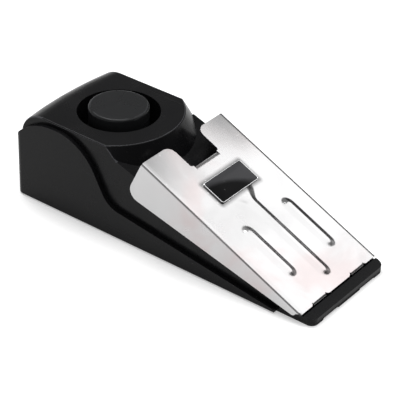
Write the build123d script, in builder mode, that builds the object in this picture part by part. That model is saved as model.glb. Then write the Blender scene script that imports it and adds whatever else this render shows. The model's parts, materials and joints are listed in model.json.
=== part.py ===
from build123d import *
import math
import os

# Door stop alarm, in millimetres. The long axis is X, from the tall rear end to the
# thin tip that slides under the door, and Z is up. The origin is under the middle of
# the part, on the surface that it stands on. Stations run forward from the rear face.

# Overall sizes
length = 145.0
base_width = 51.6
case_height = 39.0
wall = 1.8
overrun = 10.0
slack = 0.2

# Lower housing: its side outline rises over the siren and sweeps down to the tip
floor_rise = 0.4
hump_rear_height = 27.0
hump_height = 37.1
hump_crest = 20.0
hump_front = 34.8
hump_front_radius = 22.0
sweep_foot = 48.3
sweep_foot_height = 13.35
sweep_radius = 10.5
skirt_front = 128.5
skirt_front_height = 1.64
rear_edge_radius = 3.0
base_edge_radius = 0.5
parting_gap = 0.9
lip_depth = 2.0

# Upper housing: a block with a coned front on a long ramp
shell_step = 2.0
upper_rear = 0.2
rear_bow = 1.7
crown_radius = 11.5
crown_edge = 0.6
nose_axis = 30.0
nose_radius_share = 1.1872
nose_draft = 32.0
ramp_angle = 19.0
ramp_crest = 51.5
ramp_crest_height = 33.9
tip_front = 144.9
tip_front_height = 3.0
tip_crest = 140.9
tip_crest_height = 4.1
tip_underside = 1.2
tip_corner_radius = 3.0
gutter_rear = 139.2
gutter_front = 140.6
gutter_height = 3.3

# Siren well, cap, resonator and sounder
siren_station = 32.4
well_radius = 16.7
well_floor_top = 25.5
well_floor_thickness = 1.5
cap_radius = 12.2
cap_rise = 2.6
cap_edge = 1.0
cap_top_thickness = 1.6
cap_wall = 1.4
cap_port_width = 5.0
cap_port_height = 3.5
cap_port_count = 8
well_slot_count = 12
well_slot_width = 1.8
well_slot_margin = 0.8
resonator_radius = 10.2
resonator_height = 7.0
resonator_wall = 1.2
brass_thickness = 0.3
ceramic_radius = 7.2
ceramic_thickness = 0.3

# Pressure plate: folded sheet on two curled tabs, tilted above the ramp at rest
sheet = 0.6
plate_angle = 24.7
pivot_station = 138.7
pivot_height = 3.6
curl_radius = 1.5
plate_length = 82.1
plate_front = 1.3
flange_front_gap = 1.1
tab_relief = 0.4
plate_side_gap = 0.2
fold_radius = 1.2
flange_depth = 18.1
flange_front_depth = 3.2
flange_corner = 4.5
flange_front_corner = 1.5
notch_length = 12.0
notch_width = 17.0
notch_rear_radius = 3.75
notch_inner_radius = 1.0
curl_tab_width = 8.0
curl_tab_offset_share = 0.5234
curl_sweep = 215.0
curl_slot_gap = 0.35
hinge_pin_gap = 0.08
centre_tab_width = 14.0
centre_tab_drop = 10.8
centre_tab_foot = 5.0
centre_tab_bend = 1.6
foot_slot_length = 3.2
foot_slot_rear = 71.2
foot_slot_gap = 0.7
rib_height = 1.0
rib_width = 3.4
rib_edge = 0.45
middle_rib_start = 36.0
middle_rib_end = 77.5
side_rib_start = 43.5
side_rib_end = 70.0
side_rib_offset_share = 0.532

# Badge on the plate
badge_start = 20.3
badge_length = 10.9
badge_width = 23.0
badge_height = 0.9
badge_corner = 1.2
bezel_rim = 0.45
bezel_base = 0.3
dome_rise = 0.25
dome_edge = 0.35
insert_gap = 0.05

# Return spring of the plate and the cup that holds it
spring_station = 106.0
spring_wire = 0.6
spring_mean_radius = 3.0
spring_turns = 7
spring_seat_gap = 0.3
spring_plate_gap = 0.3
cup_radius = 4.0
cup_wall = 1.2
cup_floor_height = 4.0

# Battery, its terminals and the snap connector
battery_rear = 4.6
battery_length = 46.4
battery_width = 26.5
battery_thickness = 17.5
battery_corner = 1.5
terminal_offset = 6.35
terminal_length = 2.6
stud_radius = 2.8
socket_radius = 4.1
terminal_bore = 2.0
socket_sides = 6
snap_thickness = 3.6
snap_width = 24.0
snap_height = 11.0
snap_gap = 0.25
rest_thickness = 1.6

# Battery door, which slides rearward in grooves in the floor
door_length = 55.0
door_ledge = 1.2
door_thickness = 1.0
door_gap = 0.2
tongue_reach = 1.2
tongue_thickness = 0.45
bay_gap = 0.55
bay_end_gap = 0.7
grip_count = 5
grip_pitch = 2.0
grip_width = 0.9
grip_depth = 0.4
grip_span = 14.0
grip_station = 9.0

# Circuit board and what it carries
board_rear = 60.0
board_length = 39.0
board_side_gap = 3.7
board_thickness = 1.6
board_height = 6.5
board_post_radius = 2.4
board_post_inset = 3.2
board_screw_radius = 1.0
board_head_radius = 1.9
board_head_height = 1.1
board_screw_depth = 3.4
board_screw_end = 0.3

trigger_rear = 78.0
trigger_length = 12.8
trigger_width = 5.8
trigger_height = 6.5
lever_pivot_inset = 1.6
lever_pivot_rise = 1.2
lever_reach = 16.0
lever_angle = 24.0
lever_sheet = 0.4
lever_hub_radius = 0.9
lever_pin_radius = 0.5
lever_pin_gap = 0.06
lever_ear = 0.7
button_station = 82.0
button_size = 1.8
button_edge = 0.22
button_rise = 0.9
button_depth = 2.4
button_left = 0.4
button_gap = 0.08

switch_station = 71.0
switch_offset = 10.0
switch_length = 8.6
switch_width = 4.4
switch_depth = 3.4
switch_travel = 3.0
knob_width = 2.4
knob_stem = 1.6
knob_gap = 0.1
knob_inset = 0.2
knob_window_gap = 0.35

sensor_station = 70.5
sensor_offset = 14.5
sensor_radius = 2.5
sensor_height = 9.0
coil_station = 86.5
coil_offset = 11.5
coil_radius = 4.4
coil_core_radius = 2.2
coil_flange = 0.9
coil_height = 5.6
capacitor_station = 78.5
capacitor_offset = 13.5
capacitor_radius = 3.1
capacitor_height = 9.0
capacitor_edge = 0.5
transistor_station = 85.0
transistor_offset = 11.0
transistor_radius = 2.3
transistor_height = 4.6
transistor_flat = 1.4
chip_station = 76.0
chip_offset = 11.5
chip_radius = 4.0
chip_height = 1.4
chip_dome_share = 0.8
resistor_station = 93.0
resistor_pitch = 3.0
resistor_count = 3
resistor_length = 5.0
resistor_radius = 1.1
resistor_offset = 8.0

# Leads inside the case
lead_diameter = 0.9
battery_lead_offset = 3.4
battery_lead_run = 6.2
battery_lead_rise = 4.2
piezo_lead_diameter = 0.8
piezo_lead_station = 38.5
piezo_lead_offset = 1.6
piezo_lead_gap = 0.6
piezo_lead_drop_station = 66.5
lead_hole_gap = 0.35
lead_bend_share = 0.45

# Screws and rubber
case_screw_radius = 1.3
case_head_radius = 2.5
case_head_height = 1.5
case_screw_gap = 0.05
case_post_wall = 1.5
rear_screw_station = 21.0
rear_post_clearance = 0.5
rear_post_top = 14.0
front_screw_station = 114.0
front_screw_inset = 8.0
front_post_top = 4.6
screw_bite = 4.0
post_gap = 0.3
drive_slot_width = 0.5
drive_slot_depth = 0.7
pad_rear = 84.0
pad_web = 0.5
pad_groove_share = 0.412
pad_band_share = 0.305
foot_radius = 2.7
foot_height = 1.0
foot_station = 8.0
foot_inset = 4.6

half_length = length / 2
base_half = base_width / 2
upper_half = base_half - shell_step
bow_radius = (upper_half * upper_half + rear_bow * rear_bow) / (2 * rear_bow)
floor_top = floor_rise + wall
inner_half = base_half - wall
lip_half = inner_half - slack
nose_radius = nose_radius_share * upper_half
ramp_slope = math.tan(math.radians(ramp_angle))


os.makedirs("parts", exist_ok=True)


def at(station):
    """X of a station that is measured forward from the rear face."""
    return station - half_length


def ramp_z(station):
    """Height of the ramp's face at a station."""
    return ramp_crest_height - (station - ramp_crest) * ramp_slope


def tilted(distance, rise, angle=plate_angle):
    """X and Z of a point given along the plate, forward of its hinge axis, and above it."""
    turn = math.radians(angle)
    x = at(pivot_station) + distance * math.cos(turn) + rise * math.sin(turn)
    z = pivot_height - distance * math.sin(turn) + rise * math.cos(turn)
    return x, z


def save(piece, name):
    """Labels a finished piece and writes its file."""
    piece.part.label = name
    export_step(piece.part, f"parts/{name}.step")


def parting_outline():
    """Side outline of the lower housing's region, run out past its rear and its floor."""
    crest = (at(hump_crest), hump_height)
    shoulder = (at(0), hump_rear_height)
    front = (at(skirt_front), skirt_front_height)
    outer_corner = (at(-overrun), -overrun)
    TangentArc(crest, shoulder, tangent=(-1, 0))
    FilletPolyline(
        crest,
        (at(hump_front), hump_height),
        (at(sweep_foot), sweep_foot_height),
        front,
        radius=(hump_front_radius, sweep_radius),
    )
    Polyline(
        front,
        (at(skirt_front), -overrun),
        outer_corner,
        (at(-overrun), hump_rear_height),
        shoulder,
    )


def parting_region(growth, half_width):
    """Solid under the parting line, grown by a gap or shrunk by a negative one."""
    with BuildPart() as region:
        with BuildSketch(Plane.XZ):
            with BuildLine():
                parting_outline()
            make_face()
            if growth:
                offset(amount=growth, kind=Kind.INTERSECTION)
        extrude(amount=half_width, both=True)
    return region.part


def crowned_block(inset):
    """Block over the siren with a bowed rear and a coned front, or its hollow when inset."""
    roof = case_height - inset
    rear = at(upper_rear) + inset
    floor = tip_underside if not inset else -overrun
    crown = (rear + crown_radius - inset, roof)
    crown_foot = (rear, roof - crown_radius + inset)
    nose_inset = inset / math.cos(math.radians(nose_draft))
    base_radius = nose_radius + case_height * math.tan(math.radians(nose_draft))
    with BuildPart() as nose:
        with Locations((at(nose_axis), 0, 0)):
            Cone(
                base_radius - nose_inset,
                nose_radius - nose_inset,
                case_height,
                align=(Align.CENTER, Align.CENTER, Align.MIN),
            )
        with BuildSketch(Plane.XY.offset(-overrun)):
            with Locations((at(nose_axis) - half_length, 0)):
                Rectangle(length, base_width)
        extrude(amount=case_height + overrun)
    bow_axis = at(upper_rear) + bow_radius
    with BuildPart() as block:
        with BuildSketch(Plane.XZ):
            with BuildLine():
                TangentArc(crown, crown_foot, tangent=(-1, 0))
                Polyline(crown, (bow_axis, roof), (bow_axis, floor), (rear, floor), crown_foot)
            make_face()
        revolve(axis=Axis((bow_axis, 0, 0), (0, 0, 1)))
        with BuildSketch(Plane.XY.offset(floor)):
            Rectangle(2 * length, 2 * (upper_half - inset))
        extrude(amount=roof - floor, mode=Mode.INTERSECT)
        add(nose.part, mode=Mode.INTERSECT)
        if not inset:
            top_edges = block.faces().sort_by(Axis.Z)[-1].edges()
            long_edges = top_edges.filter_by(Axis.X)
            nose_edges = block.edges().filter_by(GeomType.HYPERBOLA)
            nose_rim = top_edges.filter_by(GeomType.CIRCLE).sort_by(Axis.X)[-1:]
            fillet(nose_rim + nose_edges + long_edges, crown_edge)
    return block.part


# Ramp: the wedge under the pressure plate, with a gutter and a raised strip at the tip
ramp_thickness = wall / math.cos(math.radians(ramp_angle))
ramp_root = crown_radius + wall
with BuildPart() as ramp_wedge:
    with BuildSketch(Plane.XZ):
        with BuildLine():
            Polyline(
                (at(ramp_root), tip_underside),
                (at(ramp_root), sweep_foot_height),
                (at(ramp_crest), ramp_crest_height),
                (at(pivot_station), ramp_z(pivot_station)),
                (at(gutter_rear), gutter_height),
                (at(gutter_front), gutter_height),
                (at(tip_crest), tip_crest_height),
                (at(tip_front), tip_front_height),
                (at(tip_front), tip_underside),
                close=True,
            )
        make_face()
    extrude(amount=upper_half, both=True)
    fillet(ramp_wedge.edges().filter_by(Axis.Z).sort_by(Axis.X)[-2:], radius=tip_corner_radius)

with BuildPart() as ramp_hollow:
    with BuildSketch(Plane.XZ):
        with BuildLine():
            Polyline(
                (at(nose_axis), -overrun),
                (at(nose_axis), ramp_crest_height - ramp_thickness - overrun),
                (at(ramp_crest), ramp_crest_height - ramp_thickness),
                (at(skirt_front) - wall, ramp_z(skirt_front - wall) - ramp_thickness),
                (at(skirt_front) - wall, -overrun),
                close=True,
            )
        make_face()
    extrude(amount=upper_half - wall, both=True)

with BuildPart() as upper_form:
    add(crowned_block(0))
    add(ramp_wedge.part)

# Inner lip of the upper housing, which stands inside the lower housing's walls
with BuildPart() as lip_ring:
    with BuildSketch():
        with Locations((at(wall + slack) + half_length, 0)):
            Rectangle(length, 2 * lip_half)
    extrude(amount=case_height)
    add(upper_form.part, mode=Mode.INTERSECT)
    add(parting_region(-lip_depth, base_width), mode=Mode.SUBTRACT)
    with BuildSketch():
        with Locations((at(skirt_front) + parting_gap - half_length, 0)):
            Rectangle(length, base_width)
    extrude(amount=floor_top + slack, mode=Mode.SUBTRACT)

# Posts, well and spring cup that hang from the upper housing's roof
well_outer = well_radius + cap_wall
well_floor_base = well_floor_top - well_floor_thickness
post_radius = case_screw_radius + case_post_wall
rear_screw_offset = inner_half - post_radius - rear_post_clearance
front_screw_offset = base_half - front_screw_inset
curl_tab_offset = curl_tab_offset_share * upper_half
rear_screws = [(at(rear_screw_station), side * rear_screw_offset) for side in (-1, 1)]
front_screws = [(at(front_screw_station), side * front_screw_offset) for side in (-1, 1)]
cup_outer = cup_radius + cup_wall
with BuildPart() as hanging:
    with BuildSketch(Plane.XY.offset(rear_post_top + post_gap)):
        with Locations(*rear_screws):
            Circle(post_radius)
    extrude(amount=case_height - wall / 2 - rear_post_top - post_gap)
    with BuildSketch(Plane.XY.offset(front_post_top + post_gap)):
        with Locations(*front_screws):
            Circle(post_radius)
    extrude(amount=case_height)
    with BuildSketch(Plane.XY.offset(cup_floor_height - cup_wall)):
        with Locations((at(spring_station), 0)):
            Circle(cup_outer)
    extrude(amount=case_height)
    with BuildSketch(Plane.XY.offset(well_floor_base)):
        with Locations((at(siren_station), 0)):
            Circle(well_outer)
    extrude(amount=case_height - wall / 2 - well_floor_base)
    add(upper_form.part, mode=Mode.INTERSECT)

with BuildPart() as upper_housing:
    add(upper_form.part)
    add(parting_region(parting_gap, base_width), mode=Mode.SUBTRACT)
    add(lip_ring.part)
    add(crowned_block(wall), mode=Mode.SUBTRACT)
    add(ramp_hollow.part, mode=Mode.SUBTRACT)
    add(hanging.part)
    with BuildSketch(Plane.XY.offset(well_floor_top)):
        with Locations((at(siren_station), 0)):
            Circle(well_radius)
    extrude(amount=case_height, mode=Mode.SUBTRACT)
    # Sound slots in the well's floor, around the cap
    slot_length = well_radius - cap_radius - 2 * well_slot_margin
    with BuildSketch(Plane.XY.offset(well_floor_base)):
        with Locations((at(siren_station), 0)):
            with PolarLocations(cap_radius + well_slot_margin + slot_length / 2, well_slot_count):
                Rectangle(slot_length, well_slot_width)
    extrude(amount=well_floor_thickness, mode=Mode.SUBTRACT)
    # Holes for the two leads of the sounder
    with BuildSketch(Plane.XY.offset(well_floor_base)):
        with Locations(*[(at(piezo_lead_station), side * piezo_lead_offset) for side in (-1, 1)]):
            Circle(piezo_lead_diameter / 2 + lead_hole_gap)
    extrude(amount=well_floor_thickness, mode=Mode.SUBTRACT)
    # Window in the ramp for the plate's centre tab
    with BuildSketch():
        with Locations((at(foot_slot_rear) + foot_slot_length / 2, 0)):
            Rectangle(foot_slot_length, centre_tab_width + 2 * foot_slot_gap)
    extrude(amount=case_height, mode=Mode.SUBTRACT)
    with BuildSketch(Plane.XY.offset(cup_floor_height)):
        with Locations((at(spring_station), 0)):
            Circle(cup_radius)
    extrude(amount=case_height, mode=Mode.SUBTRACT)
    # Screw holes in the posts
    for places, start in ((rear_screws, rear_post_top), (front_screws, front_post_top)):
        with BuildSketch(Plane.XY.offset(start)):
            with Locations(*places):
                Circle(case_screw_radius + case_screw_gap)
        extrude(amount=2 * post_gap + screw_bite, mode=Mode.SUBTRACT)
    # Slots in the tip for the plate's curled tabs, each crossed by its hinge pin
    curl_slot_width = curl_tab_width + 2 * curl_slot_gap
    curl_slot_radius = curl_radius + curl_slot_gap
    for side in (-1, 1):
        slot_face = Plane.XZ.offset(-side * curl_tab_offset)
        with BuildSketch(slot_face):
            with Locations((at(pivot_station), pivot_height)):
                Circle(curl_slot_radius)
                with Locations((0, curl_slot_radius)):
                    Rectangle(2 * curl_slot_radius, 2 * curl_slot_radius)
        extrude(amount=curl_slot_width / 2, both=True, mode=Mode.SUBTRACT)
        with BuildSketch(slot_face):
            with Locations((at(pivot_station), pivot_height)):
                Circle(curl_radius - sheet - hinge_pin_gap)
        extrude(amount=curl_slot_width / 2, both=True)
save(upper_housing, "upper_housing")

# Lower housing: tub with the flared sides, the door's bay, switch windows and screw posts
door_top = floor_rise + door_thickness
bay_width = battery_width + 2 * bay_gap
bay_rear = battery_rear - bay_end_gap
bay_length = battery_length + terminal_length
door_width = bay_width + 2 * door_ledge
board_width = 2 * (inner_half - board_side_gap)
foot_offset = base_half - foot_inset
tongue_base = door_top - tongue_thickness
head_bore = case_head_radius + case_screw_gap * 2
boss_radius = head_bore + case_post_wall
knob_cap_length = knob_stem + 2 * knob_inset + knob_width / 2
knob_cap_width = knob_width + 2 * knob_inset
window_length = knob_cap_length + switch_travel + 2 * knob_window_gap
window_width = knob_cap_width + 2 * knob_window_gap
knob_start = switch_station - switch_travel / 2
board_corners = [
    (at(board_rear + end), side * (board_width / 2 - board_post_inset))
    for end in (board_post_inset, board_length - board_post_inset)
    for side in (-1, 1)
]
pad_half = upper_half - slack
bay_wall_offset = bay_width / 2 + rest_thickness / 2
with BuildPart() as lower_housing:
    with BuildSketch(Plane.XY.offset(floor_rise)):
        with Locations((at(skirt_front / 2), 0)):
            Rectangle(skirt_front, base_width)
    extrude(amount=case_height)
    fillet(lower_housing.edges().filter_by(Axis.Z).group_by(Axis.X)[0], radius=rear_edge_radius)
    bottom_edges = lower_housing.faces().sort_by(Axis.Z)[0].edges()
    fillet(bottom_edges.sort_by(Axis.X)[:-1], radius=base_edge_radius)
    add(parting_region(0, base_width), mode=Mode.INTERSECT)
    with BuildSketch(Plane.XY.offset(floor_top)):
        with Locations((at(wall) + (skirt_front - wall) / 2, 0)):
            Rectangle(skirt_front - wall, 2 * inner_half)
    extrude(amount=case_height, mode=Mode.SUBTRACT)
    # Screw bosses, board posts and the walls beside the battery
    for places, boss_top, post_top in (
        (rear_screws, floor_top + case_head_height, rear_post_top),
        (front_screws, front_post_top, front_post_top),
    ):
        with BuildSketch(Plane.XY.offset(floor_top - wall / 2)):
            with Locations(*places):
                Circle(boss_radius)
        extrude(amount=boss_top - floor_top + wall / 2)
        with BuildSketch(Plane.XY.offset(floor_top)):
            with Locations(*places):
                Circle(post_radius)
        extrude(amount=post_top - floor_top)
    with BuildSketch(Plane.XY.offset(floor_top)):
        with Locations(*board_corners):
            Circle(board_post_radius)
        with Locations(*[(at(bay_rear + bay_length / 2), side * bay_wall_offset) for side in (-1, 1)]):
            Rectangle(bay_length, rest_thickness)
    extrude(amount=board_height - floor_top)
    # Battery bay with the recess and the grooves of its sliding door
    with BuildSketch():
        with Locations((at(bay_rear + bay_length / 2), 0)):
            Rectangle(bay_length, bay_width)
    extrude(amount=case_height / 2, mode=Mode.SUBTRACT)
    door_front = floor_rise + door_length + door_gap
    with BuildSketch():
        with Locations((at(door_front) - door_length, 0)):
            Rectangle(2 * door_length, door_width + 2 * door_gap)
    extrude(amount=door_top + door_gap / 2, mode=Mode.SUBTRACT)
    with BuildSketch(Plane.XY.offset(tongue_base - door_gap / 2)):
        with Locations((at(door_front) - door_length, 0)):
            Rectangle(2 * door_length, door_width + 2 * tongue_reach + 2 * door_gap)
    extrude(amount=tongue_thickness + door_gap, mode=Mode.SUBTRACT)
    # Windows of the two switches
    with BuildSketch():
        with Locations(*[(at(switch_station), side * switch_offset) for side in (-1, 1)]):
            Rectangle(window_length, window_width)
    extrude(amount=floor_top, mode=Mode.SUBTRACT)
    # Recesses of the grip pad and the rear feet
    with BuildSketch():
        with Locations((at(pad_rear - slack) + length / 2, 0)):
            Rectangle(length, 2 * pad_half + 2 * slack)
    extrude(amount=tip_underside, mode=Mode.SUBTRACT)
    with BuildSketch():
        with Locations(*[(at(foot_station), side * foot_offset) for side in (-1, 1)]):
            Circle(foot_radius + case_screw_gap)
    extrude(amount=foot_height, mode=Mode.SUBTRACT)
    # Screw holes with room for the heads
    rear_head = floor_rise + slack
    for places, head, top in (
        (rear_screws, rear_head, rear_post_top),
        (front_screws, tip_underside, front_post_top),
    ):
        with BuildSketch():
            with Locations(*places):
                Circle(head_bore)
        extrude(amount=head + case_head_height, mode=Mode.SUBTRACT)
        with BuildSketch():
            with Locations(*places):
                Circle(case_screw_radius + case_screw_gap)
        extrude(amount=top, mode=Mode.SUBTRACT)
    with BuildSketch(Plane.XY.offset(board_height - board_screw_depth)):
        with Locations(*board_corners):
            Circle(board_screw_radius + case_screw_gap)
    extrude(amount=board_screw_depth, mode=Mode.SUBTRACT)
save(lower_housing, "lower_housing")

# Siren cap: an inverted cup with sound ports round its foot
cap_top = case_height + cap_rise
with BuildPart() as siren_cap:
    with BuildSketch(Plane.XY.offset(well_floor_top)):
        with Locations((at(siren_station), 0)):
            Circle(cap_radius)
    extrude(amount=cap_top - well_floor_top)
    fillet(siren_cap.faces().sort_by(Axis.Z)[-1].edges(), radius=cap_edge)
    with BuildSketch(Plane.XY.offset(well_floor_top)):
        with Locations((at(siren_station), 0)):
            Circle(cap_radius - cap_wall)
    extrude(amount=cap_top - cap_top_thickness - well_floor_top, mode=Mode.SUBTRACT)
    with BuildSketch(Plane.XY.offset(well_floor_top)):
        with Locations((at(siren_station), 0)):
            with PolarLocations(cap_radius - cap_wall / 2, cap_port_count):
                Rectangle(2 * cap_wall, cap_port_width)
    extrude(amount=cap_port_height, mode=Mode.SUBTRACT)
save(siren_cap, "siren_cap")

# Resonator cup under the cap, with the two-layer sounder on its rim
resonator_top = well_floor_top + resonator_height
with BuildPart() as resonator:
    with BuildSketch(Plane.XY.offset(well_floor_top)):
        with Locations((at(siren_station), 0)):
            Circle(resonator_radius)
    extrude(amount=resonator_height)
    with BuildSketch(Plane.XY.offset(well_floor_top + resonator_wall)):
        with Locations((at(siren_station), 0)):
            Circle(resonator_radius - resonator_wall)
    extrude(amount=resonator_height, mode=Mode.SUBTRACT)
    with BuildSketch(Plane.XY.offset(well_floor_top)):
        with Locations(*[(at(piezo_lead_station), side * piezo_lead_offset) for side in (-1, 1)]):
            Circle(piezo_lead_diameter / 2 + lead_hole_gap)
    extrude(amount=resonator_wall, mode=Mode.SUBTRACT)
save(resonator, "siren_resonator")

for name, radius, base, thickness in (
    ("piezo_plate", resonator_radius, resonator_top, brass_thickness),
    ("piezo_ceramic", ceramic_radius, resonator_top + brass_thickness, ceramic_thickness),
):
    with BuildPart() as disc:
        with BuildSketch(Plane.XY.offset(base)):
            with Locations((at(siren_station), 0)):
                Circle(radius)
        extrude(amount=thickness)
    save(disc, name)

# Pressure plate: folded channel with a notch, raised ribs, curled tabs and a centre tab
plate_turn = math.radians(plate_angle)
along = (math.cos(plate_turn), 0, -math.sin(plate_turn))
outward = (math.sin(plate_turn), 0, math.cos(plate_turn))


def plate_plane(rise, distance=0):
    """Plane along the plate, at a rise above its hinge axis; its X runs to the tip."""
    x, z = tilted(distance, rise)
    return Plane(origin=(x, 0, z), x_dir=along, z_dir=outward)


plate_half = upper_half + plate_side_gap + sheet
side_rib_offset = side_rib_offset_share * upper_half
notch_front = notch_length - plate_length
notch_half = notch_width / 2
bend_reach = centre_tab_bend + sheet
tab_half = centre_tab_width / 2
tab_face = notch_front + sheet / 2
tab_foot_rise = curl_radius - centre_tab_drop + sheet / 2
sheet_middle = curl_radius - sheet / 2
rear_x, rear_z = tilted(-plate_length, curl_radius)
rib_places = (
    (middle_rib_start, middle_rib_end, 0),
    (side_rib_start, side_rib_end, side_rib_offset),
    (side_rib_start, side_rib_end, -side_rib_offset),
)
with BuildPart() as pressure_plate:
    with BuildSketch(Plane(origin=(rear_x, 0, rear_z), x_dir=(0, 1, 0), z_dir=along)) as channel:
        Rectangle(2 * plate_half, flange_depth, align=(Align.CENTER, Align.MAX))
        fillet(channel.vertices().group_by(Axis.Z)[-1], radius=fold_radius)
        with Locations((0, -sheet - flange_depth)):
            RectangleRounded(
                2 * plate_half - 2 * sheet,
                2 * flange_depth,
                radius=fold_radius - sheet,
                mode=Mode.SUBTRACT,
            )
    extrude(amount=plate_length + plate_front)
    # Plan outline with the notch, then the side outline of the flanges
    with BuildSketch(plate_plane(0)):
        with BuildLine():
            FilletPolyline(
                (-plate_length, -notch_half),
                (notch_front, -notch_half),
                (notch_front, notch_half),
                (-plate_length, notch_half),
                (-plate_length, plate_half),
                (plate_front, plate_half),
                (plate_front, -plate_half),
                (-plate_length, -plate_half),
                close=True,
                radius=(notch_rear_radius, notch_inner_radius, notch_inner_radius)
                + (notch_rear_radius, 0, 0, 0, 0),
            )
        make_face()
    extrude(amount=flange_depth, both=True, mode=Mode.INTERSECT)
    with BuildSketch(Plane.XZ):
        with BuildLine():
            FilletPolyline(
                tilted(-plate_length, curl_radius + sheet),
                tilted(-plate_length, curl_radius - flange_depth),
                tilted(-flange_front_gap, curl_radius - flange_front_depth),
                tilted(-flange_front_gap, curl_radius - sheet),
                tilted(plate_front, curl_radius - sheet),
                tilted(plate_front, curl_radius + sheet),
                close=True,
                radius=(0, flange_corner, flange_front_corner, 0, 0, 0),
            )
        make_face()
    extrude(amount=base_width, both=True, mode=Mode.INTERSECT)
    # Centre tab: bent down through the ramp, with a foot that hooks under it
    with BuildSketch(plate_plane(0)):
        with Locations((notch_front + bend_reach / 2, 0)):
            Rectangle(bend_reach, centre_tab_width + 2 * slack)
    extrude(amount=curl_radius, mode=Mode.SUBTRACT)
    with BuildSketch(Plane.XZ):
        with BuildLine() as tab_line:
            FilletPolyline(
                tilted(notch_front + 2 * bend_reach, sheet_middle),
                tilted(tab_face, sheet_middle),
                tilted(tab_face, tab_foot_rise),
                tilted(tab_face + centre_tab_foot, tab_foot_rise),
                radius=(centre_tab_bend, centre_tab_bend / 2),
            )
        trace(tab_line.edges(), line_width=sheet)
    extrude(amount=tab_half, both=True)
    # Curled tabs, which turn about the hinge pins in the tip, between two reliefs
    with BuildSketch(plate_plane(0)):
        with Locations(*[(plate_front / 2, side * curl_tab_offset) for side in (-1, 1)]):
            Rectangle(plate_front, curl_tab_width + 2 * tab_relief)
    extrude(amount=2 * curl_radius, mode=Mode.SUBTRACT)
    for side in (-1, 1):
        curl_face = Plane.XZ.offset(-side * curl_tab_offset)
        hinge_point = (at(pivot_station), pivot_height)
        with BuildSketch(curl_face):
            with BuildLine():
                CenterArc(hinge_point, curl_radius, 90 - plate_angle, -curl_sweep)
                CenterArc(hinge_point, curl_radius - sheet, 90 - plate_angle, -curl_sweep)
                Line(tilted(0, curl_radius - sheet), tilted(0, curl_radius))
                curl_end = 90 - plate_angle - curl_sweep
                Line(
                    PolarLine(hinge_point, curl_radius, curl_end, mode=Mode.PRIVATE) @ 1,
                    PolarLine(hinge_point, curl_radius - sheet, curl_end, mode=Mode.PRIVATE) @ 1,
                )
            make_face()
            with BuildLine():
                Polyline(
                    tilted(0, curl_radius),
                    tilted(-sheet, curl_radius),
                    tilted(-sheet, curl_radius - sheet),
                    tilted(0, curl_radius - sheet),
                    close=True,
                )
            make_face()
        extrude(amount=curl_tab_width / 2, both=True)
    # Raised ribs, hollow underneath
    for start, end, offset_y in rib_places:
        rib_length = end - start
        rib_middle = (start + end) / 2 - plate_length
        with BuildSketch(plate_plane(curl_radius)):
            with Locations((rib_middle, offset_y)):
                SlotOverall(rib_length, rib_width)
        extrude(amount=rib_height)
        rib_top = plate_plane(curl_radius + rib_height)
        flat_faces = pressure_plate.faces().filter_by(Axis(rib_top.origin, rib_top.z_dir))
        crest = flat_faces.sort_by_distance(rib_top.from_local_coords((rib_middle, offset_y, 0)))[0]
        fillet(crest.edges(), radius=rib_edge)
    for start, end, offset_y in rib_places:
        with BuildSketch(plate_plane(curl_radius - sheet)):
            with Locations(((start + end) / 2 - plate_length, offset_y)):
                SlotOverall(end - start - 2 * sheet, rib_width - 2 * sheet)
        extrude(amount=rib_height, mode=Mode.SUBTRACT)
save(pressure_plate, "pressure_plate")

# Badge: a bright frame with a domed dark insert, left plain
badge_place = badge_start + badge_length / 2 - plate_length
insert_length = badge_length - 2 * bezel_rim
insert_width = badge_width - 2 * bezel_rim
with BuildPart() as badge_bezel:
    with BuildSketch(plate_plane(curl_radius)):
        with Locations((badge_place, 0)):
            RectangleRounded(badge_length, badge_width, radius=badge_corner)
    extrude(amount=badge_height)
    with BuildSketch(plate_plane(curl_radius + bezel_base)):
        with Locations((badge_place, 0)):
            RectangleRounded(insert_length, insert_width, radius=badge_corner - bezel_rim)
    extrude(amount=badge_height, mode=Mode.SUBTRACT)
save(badge_bezel, "badge_bezel")

with BuildPart() as badge_insert:
    with BuildSketch(plate_plane(curl_radius + bezel_base)):
        with Locations((badge_place, 0)):
            RectangleRounded(
                insert_length - 2 * insert_gap,
                insert_width - 2 * insert_gap,
                radius=badge_corner - bezel_rim - insert_gap,
            )
    extrude(amount=badge_height - bezel_base + dome_rise)
    dome_face = badge_insert.faces().sort_by(Axis((0, 0, 0), outward))[-1]
    fillet(dome_face.edges(), radius=dome_edge)
save(badge_insert, "badge_insert")

# Return spring of the plate: an open helix that stands in the cup under the ramp
under_plate = curl_radius - sheet
spring_front = spring_station + spring_mean_radius + spring_wire / 2
plate_under = pivot_height + (pivot_station - spring_front) * math.tan(plate_turn)
plate_under += under_plate / math.cos(plate_turn)
spring_base = cup_floor_height + spring_seat_gap + spring_wire / 2
spring_top = plate_under - spring_plate_gap - spring_wire / 2
spring_pitch = (spring_top - spring_base) / spring_turns


def helix_point(turns):
    """Point and unit direction of the spring's centre line, after a number of turns."""
    angle = 2 * math.pi * turns
    climb = spring_pitch / (2 * math.pi)
    point = Vector(
        at(spring_station) + spring_mean_radius * math.cos(angle),
        spring_mean_radius * math.sin(angle),
        spring_base + spring_pitch * turns,
    )
    direction = Vector(
        -spring_mean_radius * math.sin(angle), spring_mean_radius * math.cos(angle), climb
    )
    return point, direction.normalized()


def biarc_joint(first, last):
    """Point where two arcs meet that join two points of a curve along its directions."""
    chord = last[0] - first[0]
    pull = chord.dot(first[1] + last[1])
    turn_share = 2 * (1 - first[1].dot(last[1]))
    reach = (math.sqrt(pull * pull + turn_share * chord.dot(chord)) - pull) / turn_share
    return (first[0] + first[1] * reach + last[0] - last[1] * reach) / 2


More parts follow.
